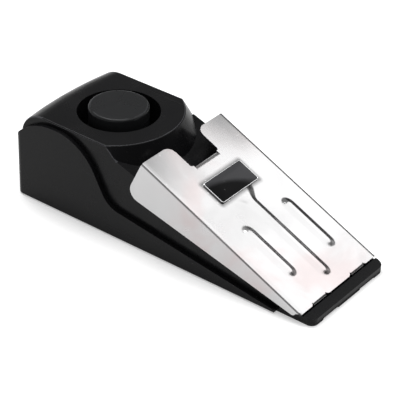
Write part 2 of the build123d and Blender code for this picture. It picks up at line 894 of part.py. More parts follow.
quarter_turns = 4
stops = [helix_point(step / quarter_turns) for step in range(quarter_turns * spring_turns + 1)]
with BuildPart() as plate_spring:
    with BuildLine() as spring_line:
        for first, last in zip(stops, stops[1:]):
            joint = biarc_joint(first, last)
            lower_arc = TangentArc(first[0], joint, tangent=first[1])
            TangentArc(joint, last[0], tangent=lower_arc % 1)
    with BuildSketch(Plane(origin=stops[0][0], z_dir=stops[0][1])):
        Circle(spring_wire / 2)
    sweep()
save(plate_spring, "plate_spring")
print("least gap between the spring's turns", round(spring_pitch - spring_wire, 3))

# Battery with its two terminals, and the snap connector that faces them
battery_base = door_top + post_gap
battery_middle = battery_base + battery_thickness / 2
battery_front = battery_rear + battery_length
piezo_lead_height = battery_base + battery_thickness + piezo_lead_gap + piezo_lead_diameter / 2
with BuildPart() as battery:
    with BuildSketch(Plane.YZ.offset(at(battery_rear))):
        with Locations((0, battery_middle)):
            RectangleRounded(battery_width, battery_thickness, radius=battery_corner)
    extrude(amount=battery_length)
save(battery, "battery")

terminal_face = Plane.YZ.offset(at(battery_front))
with BuildPart() as battery_stud:
    with BuildSketch(terminal_face):
        with Locations((-terminal_offset, battery_middle)):
            Circle(stud_radius)
    extrude(amount=terminal_length)
    with BuildSketch(terminal_face):
        with Locations((terminal_offset, battery_middle)):
            RegularPolygon(socket_radius, socket_sides)
            Circle(terminal_bore, mode=Mode.SUBTRACT)
    extrude(amount=terminal_length)
save(battery_stud, "battery_terminals")

snap_rear = battery_front + terminal_length + snap_gap
snap_front = snap_rear + snap_thickness
with BuildPart() as battery_snap:
    with BuildSketch(Plane.YZ.offset(at(snap_rear))):
        with Locations((0, battery_middle)):
            RectangleRounded(snap_width, snap_height, radius=snap_height / 2 - battery_corner)
    extrude(amount=snap_thickness)
    fillet(battery_snap.faces().sort_by(Axis.X)[-1].edges(), radius=battery_corner / 2)
save(battery_snap, "battery_snap")

# Sliding battery door with tongues along its sides and grip ribs near the rear
with BuildPart() as battery_door:
    with BuildSketch(Plane.XY.offset(floor_rise)):
        with Locations((at(floor_rise + door_length / 2), 0)):
            Rectangle(door_length, door_width)
    extrude(amount=door_thickness)
    with BuildSketch(Plane.XY.offset(tongue_base)):
        with Locations((at(floor_rise + rear_edge_radius + door_length / 2), 0)):
            Rectangle(door_length - 2 * rear_edge_radius, door_width + 2 * tongue_reach)
    extrude(amount=tongue_thickness)
    with BuildSketch(Plane.XY.offset(floor_rise)):
        with Locations((at(grip_station), 0)):
            with GridLocations(grip_pitch, 0, grip_count, 1):
                Rectangle(grip_width, grip_span)
    extrude(amount=grip_depth, mode=Mode.SUBTRACT)
save(battery_door, "battery_door")

# Circuit board on four posts, with a hole over each post
board_top = board_height + board_thickness
with BuildPart() as circuit_board:
    with BuildSketch(Plane.XY.offset(board_height)):
        with Locations((at(board_rear + board_length / 2), 0)):
            Rectangle(board_length, board_width)
        with Locations(*board_corners):
            Circle(board_screw_radius + lead_hole_gap, mode=Mode.SUBTRACT)
    extrude(amount=board_thickness)
save(circuit_board, "circuit_board")

# Trigger switch under the centre tab: body with two ears, lever on its pin, and button
lever_x = at(trigger_rear + trigger_length - lever_pivot_inset)
lever_z = board_top + trigger_height + lever_pivot_rise
lever_width = trigger_width - 2 * lever_ear - 2 * slack
trigger_top = board_top + trigger_height
button_travel = button_rise - button_left
button_base = trigger_top - button_depth
with BuildPart() as trigger_body:
    with BuildSketch(Plane.XY.offset(board_top)):
        with Locations((at(trigger_rear + trigger_length / 2), 0)):
            Rectangle(trigger_length, trigger_width)
    extrude(amount=trigger_height)
    with BuildSketch(Plane.XZ):
        with Locations((lever_x, lever_z)):
            Circle(lever_pivot_inset)
            with Locations((0, -lever_pivot_rise)):
                Rectangle(2 * lever_pivot_inset, 2 * lever_pivot_rise)
    extrude(amount=trigger_width / 2, both=True)
    with BuildSketch(Plane.XY.offset(trigger_top)):
        with Locations((lever_x, 0)):
            Rectangle(4 * lever_pivot_inset, lever_width + 2 * slack)
    extrude(amount=4 * lever_pivot_rise, mode=Mode.SUBTRACT)
    with BuildSketch(Plane.XZ):
        with Locations((lever_x, lever_z)):
            Circle(lever_pin_radius)
    extrude(amount=trigger_width / 2 - lever_ear / 2, both=True)
    with BuildSketch(Plane.XY.offset(button_base - button_travel - button_gap)):
        with Locations((at(button_station), 0)):
            Rectangle(button_size + 2 * button_gap, button_size + 2 * button_gap)
    extrude(amount=trigger_height, mode=Mode.SUBTRACT)
save(trigger_body, "trigger_switch_body")

lever_turn = math.radians(lever_angle)
with BuildPart() as trigger_lever:
    with BuildSketch(Plane.XZ):
        with Locations((lever_x, lever_z)):
            Circle(lever_hub_radius)
    extrude(amount=lever_width / 2, both=True)
    lever_along = (-math.cos(lever_turn), 0, math.sin(lever_turn))
    with BuildSketch(Plane(origin=(lever_x, 0, lever_z), z_dir=lever_along)):
        Rectangle(lever_sheet, lever_width)
    extrude(amount=lever_reach)
    with BuildSketch(Plane.XZ):
        with Locations((lever_x, lever_z)):
            Circle(lever_pin_radius + lever_pin_gap)
    extrude(amount=lever_width, both=True, mode=Mode.SUBTRACT)
save(trigger_lever, "trigger_lever")

with BuildPart() as trigger_button:
    with BuildSketch(Plane.XY.offset(button_base)):
        with Locations((at(button_station), 0)):
            Rectangle(button_size, button_size)
    extrude(amount=button_depth + button_rise)
    fillet(trigger_button.faces().sort_by(Axis.Z)[-1].edges(), radius=button_edge)
save(trigger_button, "trigger_button")

# Two slide switches under the board, whose knobs reach into windows in the floor
switch_base = board_height - switch_depth
pocket_depth = switch_depth / 2
knob_top = floor_top + slack
for name, side in (("power", -1), ("sensitivity", 1)):
    with BuildPart() as switch_body:
        with BuildSketch(Plane.XY.offset(switch_base)):
            with Locations((at(switch_station), side * switch_offset)):
                Rectangle(switch_length, switch_width)
        extrude(amount=switch_depth)
        with BuildSketch(Plane.XY.offset(switch_base)):
            with Locations((at(switch_station), side * switch_offset)):
                Rectangle(knob_stem + switch_travel + 2 * knob_gap, knob_width + 2 * knob_gap)
        extrude(amount=pocket_depth + knob_gap, mode=Mode.SUBTRACT)
    save(switch_body, f"{name}_switch_body")
    with BuildPart() as knob:
        with BuildSketch(Plane.XY.offset(floor_rise + knob_inset)):
            with Locations((at(knob_start), side * switch_offset)):
                Rectangle(knob_cap_length, knob_cap_width)
        extrude(amount=knob_top - floor_rise - knob_inset)
        with BuildSketch(Plane.XY.offset(floor_rise + knob_inset)):
            with Locations((at(knob_start), side * switch_offset)):
                with GridLocations(knob_stem, 0, 2, 1):
                    Rectangle(knob_inset * 2, knob_cap_width)
        extrude(amount=knob_inset, mode=Mode.SUBTRACT)
        with BuildSketch(Plane.XY.offset(knob_top)):
            with Locations((at(knob_start), side * switch_offset)):
                Rectangle(knob_stem, knob_width)
        extrude(amount=switch_base + pocket_depth - knob_top)
    save(knob, f"{name}_knob")

# Round and boxed components that stand on the board
with BuildPart() as vibration_sensor:
    with BuildSketch(Plane.XY.offset(board_top)):
        with Locations((at(sensor_station), sensor_offset)):
            Circle(sensor_radius)
    extrude(amount=sensor_height)
    fillet(vibration_sensor.faces().sort_by(Axis.Z)[-1].edges(), radius=capacitor_edge)
save(vibration_sensor, "vibration_sensor")

with BuildPart() as coil_core:
    for base, radius, height in (
        (0, coil_radius, coil_flange),
        (coil_flange, coil_core_radius, coil_height - 2 * coil_flange),
        (coil_height - coil_flange, coil_radius, coil_flange),
    ):
        with BuildSketch(Plane.XY.offset(board_top + base)):
            with Locations((at(coil_station), coil_offset)):
                Circle(radius)
        extrude(amount=height)
save(coil_core, "boost_coil_core")

with BuildPart() as coil_winding:
    with BuildSketch(Plane.XY.offset(board_top + coil_flange)):
        with Locations((at(coil_station), coil_offset)):
            Circle(coil_radius - coil_flange / 2)
            Circle(coil_core_radius, mode=Mode.SUBTRACT)
    extrude(amount=coil_height - 2 * coil_flange)
save(coil_winding, "boost_coil_winding")

with BuildPart() as capacitor:
    with BuildSketch(Plane.XY.offset(board_top)):
        with Locations((at(capacitor_station), capacitor_offset)):
            Circle(capacitor_radius)
    extrude(amount=capacitor_height)
    fillet(capacitor.faces().sort_by(Axis.Z)[-1].edges(), radius=capacitor_edge)
save(capacitor, "capacitor")

with BuildPart() as transistor:
    with BuildSketch(Plane.XY.offset(board_top)):
        with Locations((at(transistor_station), -transistor_offset)):
            Circle(transistor_radius)
            with Locations((0, transistor_flat + transistor_radius)):
                Rectangle(2 * transistor_radius, 2 * transistor_radius, mode=Mode.SUBTRACT)
    extrude(amount=transistor_height)
save(transistor, "transistor")

with BuildPart() as control_chip:
    with BuildSketch(Plane.XY.offset(board_top)):
        with Locations((at(chip_station), -chip_offset)):
            Circle(chip_radius)
    extrude(amount=chip_height)
    fillet(control_chip.faces().sort_by(Axis.Z)[-1].edges(), radius=chip_height * chip_dome_share)
save(control_chip, "control_chip")

with BuildPart() as resistors:
    with BuildSketch(Plane.YZ.offset(at(resistor_station) - resistor_length / 2)):
        with Locations((-resistor_offset, board_top + resistor_radius)):
            with GridLocations(resistor_pitch, 0, resistor_count, 1):
                Circle(resistor_radius)
    extrude(amount=resistor_length)
save(resistors, "resistors")


def lead(name, diameter, points, radii):
    """Insulated lead along straight runs joined by arcs; the last run drops to the board."""
    with BuildPart() as wire:
        with BuildLine():
            FilletPolyline(*points, radius=radii)
        start = Vector(*points[1]) - Vector(*points[0])
        with BuildSketch(Plane(origin=points[0], z_dir=start)):
            Circle(diameter / 2)
        sweep()
    save(wire, name)


lead_x = snap_front + battery_lead_run
lead_z = battery_middle + battery_lead_rise
for name, side in (("battery_lead_red", -1), ("battery_lead_black", 1)):
    y = side * battery_lead_offset
    lead(
        name,
        lead_diameter,
        ((at(snap_front), y, lead_z), (at(lead_x), y, lead_z), (at(lead_x), y, board_top)),
        (lead_bend_share * battery_lead_run,),
    )
for name, side in (("piezo_lead_red", -1), ("piezo_lead_black", 1)):
    y = side * piezo_lead_offset
    lead(
        name,
        piezo_lead_diameter,
        (
            (at(piezo_lead_station), y, resonator_top),
            (at(piezo_lead_station), y, piezo_lead_height),
            (at(piezo_lead_drop_station), y, piezo_lead_height),
            (at(piezo_lead_drop_station), y, board_top),
        ),
        (
            well_floor_base - piezo_lead_height,
            lead_bend_share * (piezo_lead_height - board_top),
        ),
    )


def screw(head_base, head_radius, head_height, radius, reach, places):
    """Pan-head screws, heads down; a negative reach points them down, heads up."""
    with BuildPart() as screws:
        for x, y in places:
            with BuildSketch(Plane.XY.offset(head_base)):
                with Locations((x, y)):
                    Circle(head_radius)
            extrude(amount=head_height)
            with BuildSketch(Plane.XY.offset(head_base)):
                with Locations((x, y)):
                    Circle(radius)
            extrude(amount=reach)
            slot_start = head_base if reach > 0 else head_base + head_height
            slot_depth = drive_slot_depth if reach > 0 else -drive_slot_depth
            with BuildSketch(Plane.XY.offset(slot_start)):
                with Locations((x, y)):
                    Rectangle(2 * head_radius, drive_slot_width)
                    Rectangle(drive_slot_width, 2 * head_radius)
            extrude(amount=slot_depth, mode=Mode.SUBTRACT)
    return screws


rear_reach = rear_post_top + post_gap + screw_bite - rear_head
front_reach = front_post_top + post_gap + screw_bite - tip_underside
with BuildPart() as case_screws:
    for head, reach, places in (
        (rear_head, rear_reach, rear_screws),
        (tip_underside, front_reach, front_screws),
    ):
        add(screw(head, case_head_radius, case_head_height, case_screw_radius, reach, places).part)
save(case_screws, "case_screws")
board_screws = screw(
    board_top, board_head_radius, board_head_height, board_screw_radius,
    -board_thickness - board_screw_depth + board_screw_end, board_corners,
)
save(board_screws, "board_screws")

# Rubber: the grip pad with its three bands, and two feet at the rear
pad_groove_width = pad_groove_share * pad_half
band_step = pad_band_share * pad_half + pad_groove_width / 2
with BuildPart() as grip_pad:
    with BuildSketch():
        with Locations(((at(pad_rear) + half_length) / 2, 0)):
            Rectangle(length - pad_rear, 2 * pad_half)
    extrude(amount=tip_underside)
    fillet(grip_pad.edges().filter_by(Axis.Z).group_by(Axis.X)[-1], radius=tip_corner_radius)
    with BuildSketch():
        with Locations(*[((at(pad_rear) + half_length) / 2, side * band_step) for side in (-1, 1)]):
            Rectangle(length, pad_groove_width)
    extrude(amount=tip_underside - pad_web, mode=Mode.SUBTRACT)
save(grip_pad, "grip_pad")

with BuildPart() as rear_feet:
    with BuildSketch():
        with Locations(*[(at(foot_station), side * foot_offset) for side in (-1, 1)]):
            Circle(foot_radius)
    extrude(amount=foot_height)
save(rear_feet, "rear_feet")
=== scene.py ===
import json
import math

import bmesh
import bpy
import numpy as np
from mathutils import Matrix, Vector


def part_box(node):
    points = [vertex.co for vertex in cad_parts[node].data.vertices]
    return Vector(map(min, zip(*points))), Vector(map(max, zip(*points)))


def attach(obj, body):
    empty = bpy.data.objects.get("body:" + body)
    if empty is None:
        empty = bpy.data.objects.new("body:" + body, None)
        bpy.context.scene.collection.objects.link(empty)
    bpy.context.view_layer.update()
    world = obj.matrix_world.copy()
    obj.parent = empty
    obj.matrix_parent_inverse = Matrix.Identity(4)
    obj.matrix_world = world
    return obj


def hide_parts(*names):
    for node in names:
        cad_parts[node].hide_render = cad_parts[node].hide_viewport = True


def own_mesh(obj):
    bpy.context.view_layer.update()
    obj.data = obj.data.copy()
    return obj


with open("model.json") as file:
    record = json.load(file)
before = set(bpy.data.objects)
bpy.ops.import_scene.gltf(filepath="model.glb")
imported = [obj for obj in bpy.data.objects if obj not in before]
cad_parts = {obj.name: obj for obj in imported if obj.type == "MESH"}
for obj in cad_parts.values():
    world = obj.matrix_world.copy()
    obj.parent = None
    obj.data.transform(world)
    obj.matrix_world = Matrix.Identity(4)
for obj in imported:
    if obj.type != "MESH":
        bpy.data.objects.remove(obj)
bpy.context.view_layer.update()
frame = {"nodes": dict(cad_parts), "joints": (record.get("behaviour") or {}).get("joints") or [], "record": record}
nodes = frame["nodes"]
scene = bpy.context.scene
scene.view_settings.view_transform = "Standard"

# Camera: the photograph's view, from a fit of the part's own corners
VIEW_TURN = math.radians(37.12)
VIEW_LIFT = math.radians(33.43)
VIEW_ROLL = math.radians(1.56)
VIEW_DISTANCE = 0.68281
VIEW_AIM = Vector((0.0, 0.0, 0.012))
SENSOR_WIDTH, LENS = 36.0, 157.0
SHIFT_X, SHIFT_Y = 0.00645, 0.0089
CLIP_START, CLIP_END = 0.01, 10.0


def make_camera():
    """Camera on a sphere round its aim: a turn about Z, a lift, then a roll in its own plane."""
    back = Vector((
        math.sin(VIEW_TURN) * math.cos(VIEW_LIFT),
        -math.cos(VIEW_TURN) * math.cos(VIEW_LIFT),
        math.sin(VIEW_LIFT),
    ))
    level = Vector((math.cos(VIEW_TURN), math.sin(VIEW_TURN), 0.0))
    upright = back.cross(level)
    right = level * math.cos(VIEW_ROLL) + upright * math.sin(VIEW_ROLL)
    up = upright * math.cos(VIEW_ROLL) - level * math.sin(VIEW_ROLL)
    camera = bpy.data.objects.new("camera", bpy.data.cameras.new("camera"))
    camera.matrix_world = Matrix((
        (right.x, up.x, back.x, VIEW_AIM.x + back.x * VIEW_DISTANCE),
        (right.y, up.y, back.y, VIEW_AIM.y + back.y * VIEW_DISTANCE),
        (right.z, up.z, back.z, VIEW_AIM.z + back.z * VIEW_DISTANCE),
        (0.0, 0.0, 0.0, 1.0),
    ))
    camera.data.sensor_width = SENSOR_WIDTH
    camera.data.lens = LENS
    camera.data.shift_x = SHIFT_X
    camera.data.shift_y = SHIFT_Y
    camera.data.clip_start = CLIP_START
    camera.data.clip_end = CLIP_END
    scene.collection.objects.link(camera)
    scene.camera = camera


make_camera()


# Node helpers
def add(tree, kind, inputs=None, **properties):
    """New node with its properties set; each input takes a plain value or another output."""
    made = tree.nodes.new(kind)
    for name, value in properties.items():
        setattr(made, name, value)
    for name, value in (inputs or {}).items():
        if isinstance(value, bpy.types.NodeSocket):
            tree.links.new(value, made.inputs[name])
        else:
            made.inputs[name].default_value = value
    return made


def calculated(tree, operation, *values, **properties):
    """Output of a maths node whose inputs are the values in order."""
    made = add(tree, "ShaderNodeMath", dict(enumerate(values)), operation=operation, **properties)
    return made.outputs[0]


def sum_of(tree, first, first_share, second, second_share):
    """first x first_share + second x second_share."""
    part = calculated(tree, "MULTIPLY", second, second_share)
    return calculated(tree, "MULTIPLY_ADD", first, first_share, part)


def ramped(tree, value, low, high, start=0.0, end=1.0):
    """Smooth step from start at low to end at high."""
    step = add(tree, "ShaderNodeMapRange", {
        "Value": value, "From Min": low, "From Max": high, "To Min": start, "To Max": end,
    }, interpolation_type="SMOOTHSTEP")
    return step.outputs["Result"]


def chosen(tree, mask, unseen, seen):
    """Number that is the unseen one where the mask is 0 and the seen one where it is 1."""
    picked = add(tree, "ShaderNodeMapRange", {"Value": mask, "To Min": unseen, "To Max": seen})
    return picked.outputs["Result"]


def start_material(name, plain):
    """New material whose shader has the given plain values on its own sockets."""
    material = bpy.data.materials.new(name)
    material.use_nodes = True
    tree = material.node_tree
    shader = tree.nodes["Principled BSDF"]
    for label, value in plain.items():
        shader.inputs[label].default_value = value
    return material, tree, shader


def place_on(tree):
    """Place on the piece, in metres, as every effect takes it."""
    return add(tree, "ShaderNodeTexCoord").outputs["Object"]


# Studio: two level panels over the part and a strip behind it, in a white room on a white floor
LAMP_HEIGHT = 0.75
ROOM_STRENGTH = 0.45
# What gloss sees of the room: each step runs between two values of one part of its direction
CEILING_STEP, CEILING_SHADE = (0.1, 0.3), 0.26
WALL_STEPS = (("Y", (0.78, 0.88), "X", (0.16, 0.04)), ("X", (0.4, 0.6), "Y", (0.9, 0.8)))
WALL_SHADE = 0.1
FLOOR_REACH, FLOOR_DROP = 1.6, 0.00002
FLOOR_TONE, FLOOR_ROUGHNESS = 0.8, 0.9
GLOW_IN_GLOSS, GLOW_SEEN = 0.16, 0.36


def soft_panel(name, place, size, radiance):
    """Level rectangular lamp that faces down; its power is radiance x pi x its area."""
    lamp = bpy.data.lights.new(name, "AREA")
    lamp.shape = "RECTANGLE"
    lamp.size, lamp.size_y = size
    lamp.energy = radiance * math.pi * size[0] * size[1]
    holder = bpy.data.objects.new(name, lamp)
    holder.location = (*place, LAMP_HEIGHT)
    scene.collection.objects.link(holder)


def seen_directly(tree):
    """Mask that is 1 for camera, glossy and transmission rays and 0 for the light itself."""
    path = add(tree, "ShaderNodeLightPath").outputs
    either = calculated(tree, "MAXIMUM", path["Is Camera Ray"], path["Is Glossy Ray"])
    return calculated(tree, "MAXIMUM", either, path["Is Transmission Ray"])


def make_room():
    """World that lights at a plain level, white to the camera.

    Gloss sees white walls, a dark one towards +Y and another towards +X, and a grey ceiling.
    """
    world = bpy.data.worlds.new("white room")
    scene.world = world
    world.use_nodes = True
    tree = world.node_tree
    background = tree.nodes["Background"]
    background.inputs["Color"].default_value = (1, 1, 1, 1)
    direction = add(tree, "ShaderNodeTexCoord").outputs["Generated"]
    direction = add(tree, "ShaderNodeSeparateXYZ", {0: direction}).outputs
    brightness = ramped(tree, direction["Z"], *CEILING_STEP, 1.0, CEILING_SHADE)
    for towards, reached, across, kept in WALL_STEPS:
        wall = calculated(
            tree, "MULTIPLY",
            ramped(tree, direction[towards], *reached), ramped(tree, direction[across], *kept),
        )
        shaded = calculated(tree, "MULTIPLY_ADD", wall, WALL_SHADE - 1.0, 1.0)
        brightness = calculated(tree, "MULTIPLY", brightness, shaded)
    camera_ray = add(tree, "ShaderNodeLightPath").outputs["Is Camera Ray"]
    whole = calculated(tree, "MAXIMUM", camera_ray, brightness)
    strength = chosen(tree, seen_directly(tree), ROOM_STRENGTH, whole)
    tree.links.new(strength, background.inputs["Strength"])


def make_floor():
    """Level square under the part, white where no shadow falls on it."""
    corners = [
        (x * FLOOR_REACH, y * FLOOR_REACH, -FLOOR_DROP)
        for x, y in ((-1, -1), (1, -1), (1, 1), (-1, 1))
    ]
    mesh = bpy.data.meshes.new("floor")
    mesh.from_pydata(corners, [], [(0, 1, 2, 3)])
    floor = bpy.data.objects.new("floor", mesh)
    scene.collection.objects.link(floor)
    material, tree, shader = start_material("white floor", {
        "Base Color": (FLOOR_TONE, FLOOR_TONE, FLOOR_TONE, 1),
        "Roughness": FLOOR_ROUGHNESS,
        "Specular IOR Level": 0.0,
        "Emission Color": (1, 1, 1, 1),
    })
    camera_ray = add(tree, "ShaderNodeLightPath").outputs["Is Camera Ray"]
    glow = chosen(tree, camera_ray, GLOW_IN_GLOSS, GLOW_SEEN)
    strength = chosen(tree, seen_directly(tree), 0.0, glow)
    tree.links.new(strength, shader.inputs["Emission Strength"])
    mesh.materials.append(material)


soft_panel("near overhead panel", (0.295, 0.11), (0.53, 0.98), 1.36)
soft_panel("far overhead panel", (0.295, 0.84), (0.53, 0.48), 1.55)
soft_panel("edge strip", (-0.34, 0.08), (0.56, 0.24), 9.0)
make_room()
make_floor()


# Shared effects, as shader groups
def effect(name, inputs, outputs):
    """Empty shader group with a place input, named number inputs and number outputs."""
    tree = bpy.data.node_groups.new(name, "ShaderNodeTree")
    tree.interface.new_socket("Place", in_out="INPUT", socket_type="NodeSocketVector")
    for label, value in inputs.items():
        socket = tree.interface.new_socket(label, in_out="INPUT", socket_type="NodeSocketFloat")
        socket.default_value = value
    for label in outputs:
        tree.interface.new_socket(label, in_out="OUTPUT", socket_type="NodeSocketFloat")
    return tree, add(tree, "NodeGroupInput").outputs, add(tree, "NodeGroupOutput").inputs


def moulded_skin():
    """Skin of a moulding: fine spark-eroded grain over a slow waviness, and a faint tone."""
    tree, given, result = effect("moulded skin", {"Grain": 2600.0}, ["Height", "Tone"])
    grain = add(tree, "ShaderNodeTexNoise", {
        "Vector": given["Place"], "Scale": given["Grain"], "Detail": 2.0, "Roughness": 0.6,
    }).outputs["Fac"]
    waves = add(tree, "ShaderNodeTexNoise", {
        "Vector": given["Place"], "Scale": 45.0, "Detail": 1.0, "Roughness": 0.4,
    }).outputs["Fac"]
    tree.links.new(sum_of(tree, grain, 0.35, waves, 0.65), result["Height"])
    tree.links.new(sum_of(tree, grain, 0.5, waves, 0.5), result["Tone"])
    return tree


def handling_marks():
    """Marks of use: soft smudges, and short hairline scratches that run two ways."""
    tree, given, result = effect("handling marks", {"Size": 60.0}, ["Smudge", "Scratch"])
    cloud = add(tree, "ShaderNodeTexNoise", {
        "Vector": given["Place"], "Scale": given["Size"], "Detail": 4.0, "Roughness": 0.55,
        "Distortion": 0.6,
    })
    tree.links.new(ramped(tree, cloud.outputs["Fac"], 0.42, 0.72), result["Smudge"])
    lines = []
    for turn, stretch in ((0.5, (14.0, 900.0, 900.0)), (2.2, (20.0, 1100.0, 1100.0))):
        placed = add(tree, "ShaderNodeMapping", {
            "Vector": given["Place"], "Rotation": (0.2, 0.3, turn), "Scale": stretch,
        })
        streak = add(tree, "ShaderNodeTexNoise", {
            "Vector": placed.outputs[0], "Scale": 1.0, "Detail": 0.0,
        })
        lines.append(ramped(tree, streak.outputs["Fac"], 0.79, 0.86))
    tree.links.new(calculated(tree, "MAXIMUM", *lines), result["Scratch"])
    return tree


def settled_dust():
    """Dust that lies where the surface faces up, in flecks and thin patches."""
    tree, given, result = effect("settled dust", {"Amount": 0.3}, ["Dust"])
    normal = add(tree, "ShaderNodeNewGeometry").outputs["Normal"]
    facing = add(tree, "ShaderNodeSeparateXYZ", {0: normal})
    upward = ramped(tree, facing.outputs["Z"], 0.35, 1.0)
    patches = add(tree, "ShaderNodeTexNoise", {
        "Vector": given["Place"], "Scale": 110.0, "Detail": 6.0, "Roughness": 0.7,
    })
    flecks = add(tree, "ShaderNodeTexVoronoi", {"Vector": given["Place"], "Scale": 420.0})
    speck = ramped(tree, flecks.outputs["Distance"], 0.05, 0.02)
    thin = ramped(tree, patches.outputs["Fac"], 0.45, 0.85)
    shown = calculated(tree, "MULTIPLY", sum_of(tree, thin, 0.6, speck, 0.4), upward)
    tree.links.new(calculated(tree, "MULTIPLY", shown, given["Amount"]), result["Dust"])
    return tree


def rolled_sheet():
    """Rolled metal: fine lines along X, and soft clouds, for tone, gloss and height."""
    tree, given, result = effect(
        "rolled sheet", {"Lines": 1500.0, "Clouds": 26.0}, ["Line", "Cloud"]
    )
    drawn = add(tree, "ShaderNodeMapping", {"Vector": given["Place"], "Scale": (0.02, 1.0, 1.0)})
    lines = add(tree, "ShaderNodeTexNoise", {
        "Vector": drawn.outputs[0], "Scale": given["Lines"], "Detail": 3.0, "Roughness": 0.65,
    })
    clouds = add(tree, "ShaderNodeTexNoise", {
        "Vector": given["Place"], "Scale": given["Clouds"], "Detail": 3.0, "Roughness": 0.5,
        "Distortion": 0.4,
    })
    tree.links.new(lines.outputs["Fac"], result["Line"])
    tree.links.new(ramped(tree, clouds.outputs["Fac"], 0.3, 0.7), result["Cloud"])
    return tree


skin_group = moulded_skin()
marks_group = handling_marks()
dust_group = settled_dust()
sheet_group = rolled_sheet()


def placed_group(tree, group, place, values=None):
    """Shared effect placed in a material, fed with the place on the piece."""
    return add(tree, "ShaderNodeGroup", {"Place": place, **(values or {})}, node_tree=group).outputs


def bumped(tree, shader, height, depth):
    """Height field of a depth in metres on the shader's normal."""
    bump = add(tree, "ShaderNodeBump", {"Height": height, "Distance": depth, "Strength": 1.0})
    tree.links.new(bump.outputs["Normal"], shader.inputs["Normal"])


def blended(tree, factor, first, second):
    """Colour that goes from the first to the second with the factor."""
    mix = add(tree, "ShaderNodeMix", {0: factor, 6: first, 7: second}, data_type="RGBA")
    return mix.outputs[2]


def marked(tree, name):
    """Number that the piece's own mesh carries under a name."""
    return add(tree, "ShaderNodeAttribute", attribute_name=name).outputs["Fac"]


def shade(colour, share):
    """Colour scaled in brightness, with its alpha."""
    return tuple(part * share for part in colour) + (1.0,)


# Materials
DUST_COLOUR = (0.32, 0.31, 0.29, 1.0)
# The plate's rear tabs, in metres: painted shade grows rearwards and outwards, and ends at the fold
SHADED_TABS_ALONG = (0.016, -0.008)
SHADED_TABS_ACROSS = ((0.005, 0.023), (0.0247, 0.0238))
REAR_TAB_PAINTED_SHADE, BADGE_AND_CURL_PAINTED_SHADE = 0.6, 0.33


def moulded(
    name, colour, gloss, grain=2600.0, depth=0.000012, specular=0.5, dust=0.2, wear=0.12,
    edge_highlight=None,
):
    """Moulded plastic: grained skin, smudged gloss, hairline scratches and a little dust.

    Where the mesh marks a rounded upper edge, a painted highlight lifts it to the given multiple of its colour.
    """
    material, tree, shader = start_material(name, {"Specular IOR Level": specular})
    place = place_on(tree)
    skin = placed_group(tree, skin_group, place, {"Grain": grain})
    marks = placed_group(tree, marks_group, place)
    powder = placed_group(tree, dust_group, place, {"Amount": dust})
    tone = blended(tree, skin["Tone"], shade(colour, 0.8), shade(colour, 1.2))
    # Painted highlight: rounded upper edges made lighter by the given multiple of the colour
    if edge_highlight:
        tone = blended(tree, marked(tree, "rounding"), tone, shade(colour, edge_highlight))
    dusty = blended(tree, powder["Dust"], tone, DUST_COLOUR)
    tree.links.new(dusty, shader.inputs["Base Color"])
    worn = sum_of(tree, marks["Smudge"], wear, marks["Scratch"], wear)
    rough = calculated(tree, "ADD", worn, gloss, use_clamp=True)
    tree.links.new(rough, shader.inputs["Roughness"])
    bumped(tree, shader, skin["Height"], depth)
    return material


def rear_tab_shade_mask(tree, place):
    """Mask of painted shade over the plate's two rear tabs: a step along it times a step in and one out across."""
    part = add(tree, "ShaderNodeSeparateXYZ", {0: place}).outputs
    side = calculated(tree, "ABSOLUTE", part["Y"])
    mask = ramped(tree, part["X"], *SHADED_TABS_ALONG)
    for step in SHADED_TABS_ACROSS:
        mask = calculated(tree, "MULTIPLY", mask, ramped(tree, side, *step))
    return mask


def metal(
    name, colour, gloss, lines=1500.0, clouds=26.0, depth=0.000002, wear=0.1, tilt=0.0, stain=None
):
    """Bare metal: fine rolled lines, clouds in tone and gloss, and scratches.

    With a stain it is tinted in patches, and painted shade darkens its rear tabs and the places the mesh marks
    beside the badge and low on the curled tabs.
    """
    material, tree, shader = start_material(name, {"Metallic": 1.0})
    place = place_on(tree)
    turned = add(tree, "ShaderNodeMapping", {"Vector": place, "Rotation": (0.0, tilt, 0.0)})
    along = turned.outputs[0]
    sheet = placed_group(tree, sheet_group, along, {"Lines": lines, "Clouds": clouds})
    marks = placed_group(tree, marks_group, along, {"Size": 40.0})
    tone = blended(tree, sheet["Cloud"], shade(colour, 0.96), shade(colour, 1.03))
    if stain:
        film = placed_group(tree, marks_group, along, {"Size": 17.0})
        tone = blended(tree, ramped(tree, film["Smudge"], 0.0, 0.6), tone, stain)
        # Painted shade: darker rear tabs, and darker beside the badge and low on the curled tabs
        tone = blended(tree, rear_tab_shade_mask(tree, place), tone, shade(colour, REAR_TAB_PAINTED_SHADE))
        tone = blended(tree, marked(tree, "painted_shade"), tone, shade(colour, BADGE_AND_CURL_PAINTED_SHADE))
    toned = blended(tree, marks["Scratch"], tone, shade(colour, 0.97))
    tree.links.new(toned, shader.inputs["Base Color"])
    worn = sum_of(tree, sheet["Cloud"], wear, marks["Smudge"], wear)
    rough = calculated(tree, "ADD", worn, gloss, use_clamp=True)
    tree.links.new(rough, shader.inputs["Roughness"])
    bumped(tree, shader, sheet["Line"], depth)
    return material


def gloss_with_painted_reflection(name, base, painted_reflection_colour):
    """Clear domed badge: black, with a painted reflection, a soft lighter sweep that the mesh carries."""
    material, tree, shader = start_material(name, {"Specular IOR Level": 0.05})
    place = place_on(tree)
    marks = placed_group(tree, marks_group, place, {"Size": 90.0})
    # Painted reflection: the second colour where the mesh's sweep mark is high
    tone_with_painted_reflection = blended(tree, ramped(tree, marked(tree, "sweep"), -0.6, 0.0), base, painted_reflection_colour)
    hazed = blended(tree, marks["Scratch"], tone_with_painted_reflection, (0.06, 0.06, 0.06, 1.0))
    tree.links.new(hazed, shader.inputs["Base Color"])
    rough = calculated(tree, "MULTIPLY_ADD", marks["Smudge"], 0.05, 0.05)
    tree.links.new(rough, shader.inputs["Roughness"])
    skin = placed_group(tree, skin_group, place, {"Grain": 900.0})
    bumped(tree, shader, skin["Height"], 0.0000005)
    return material


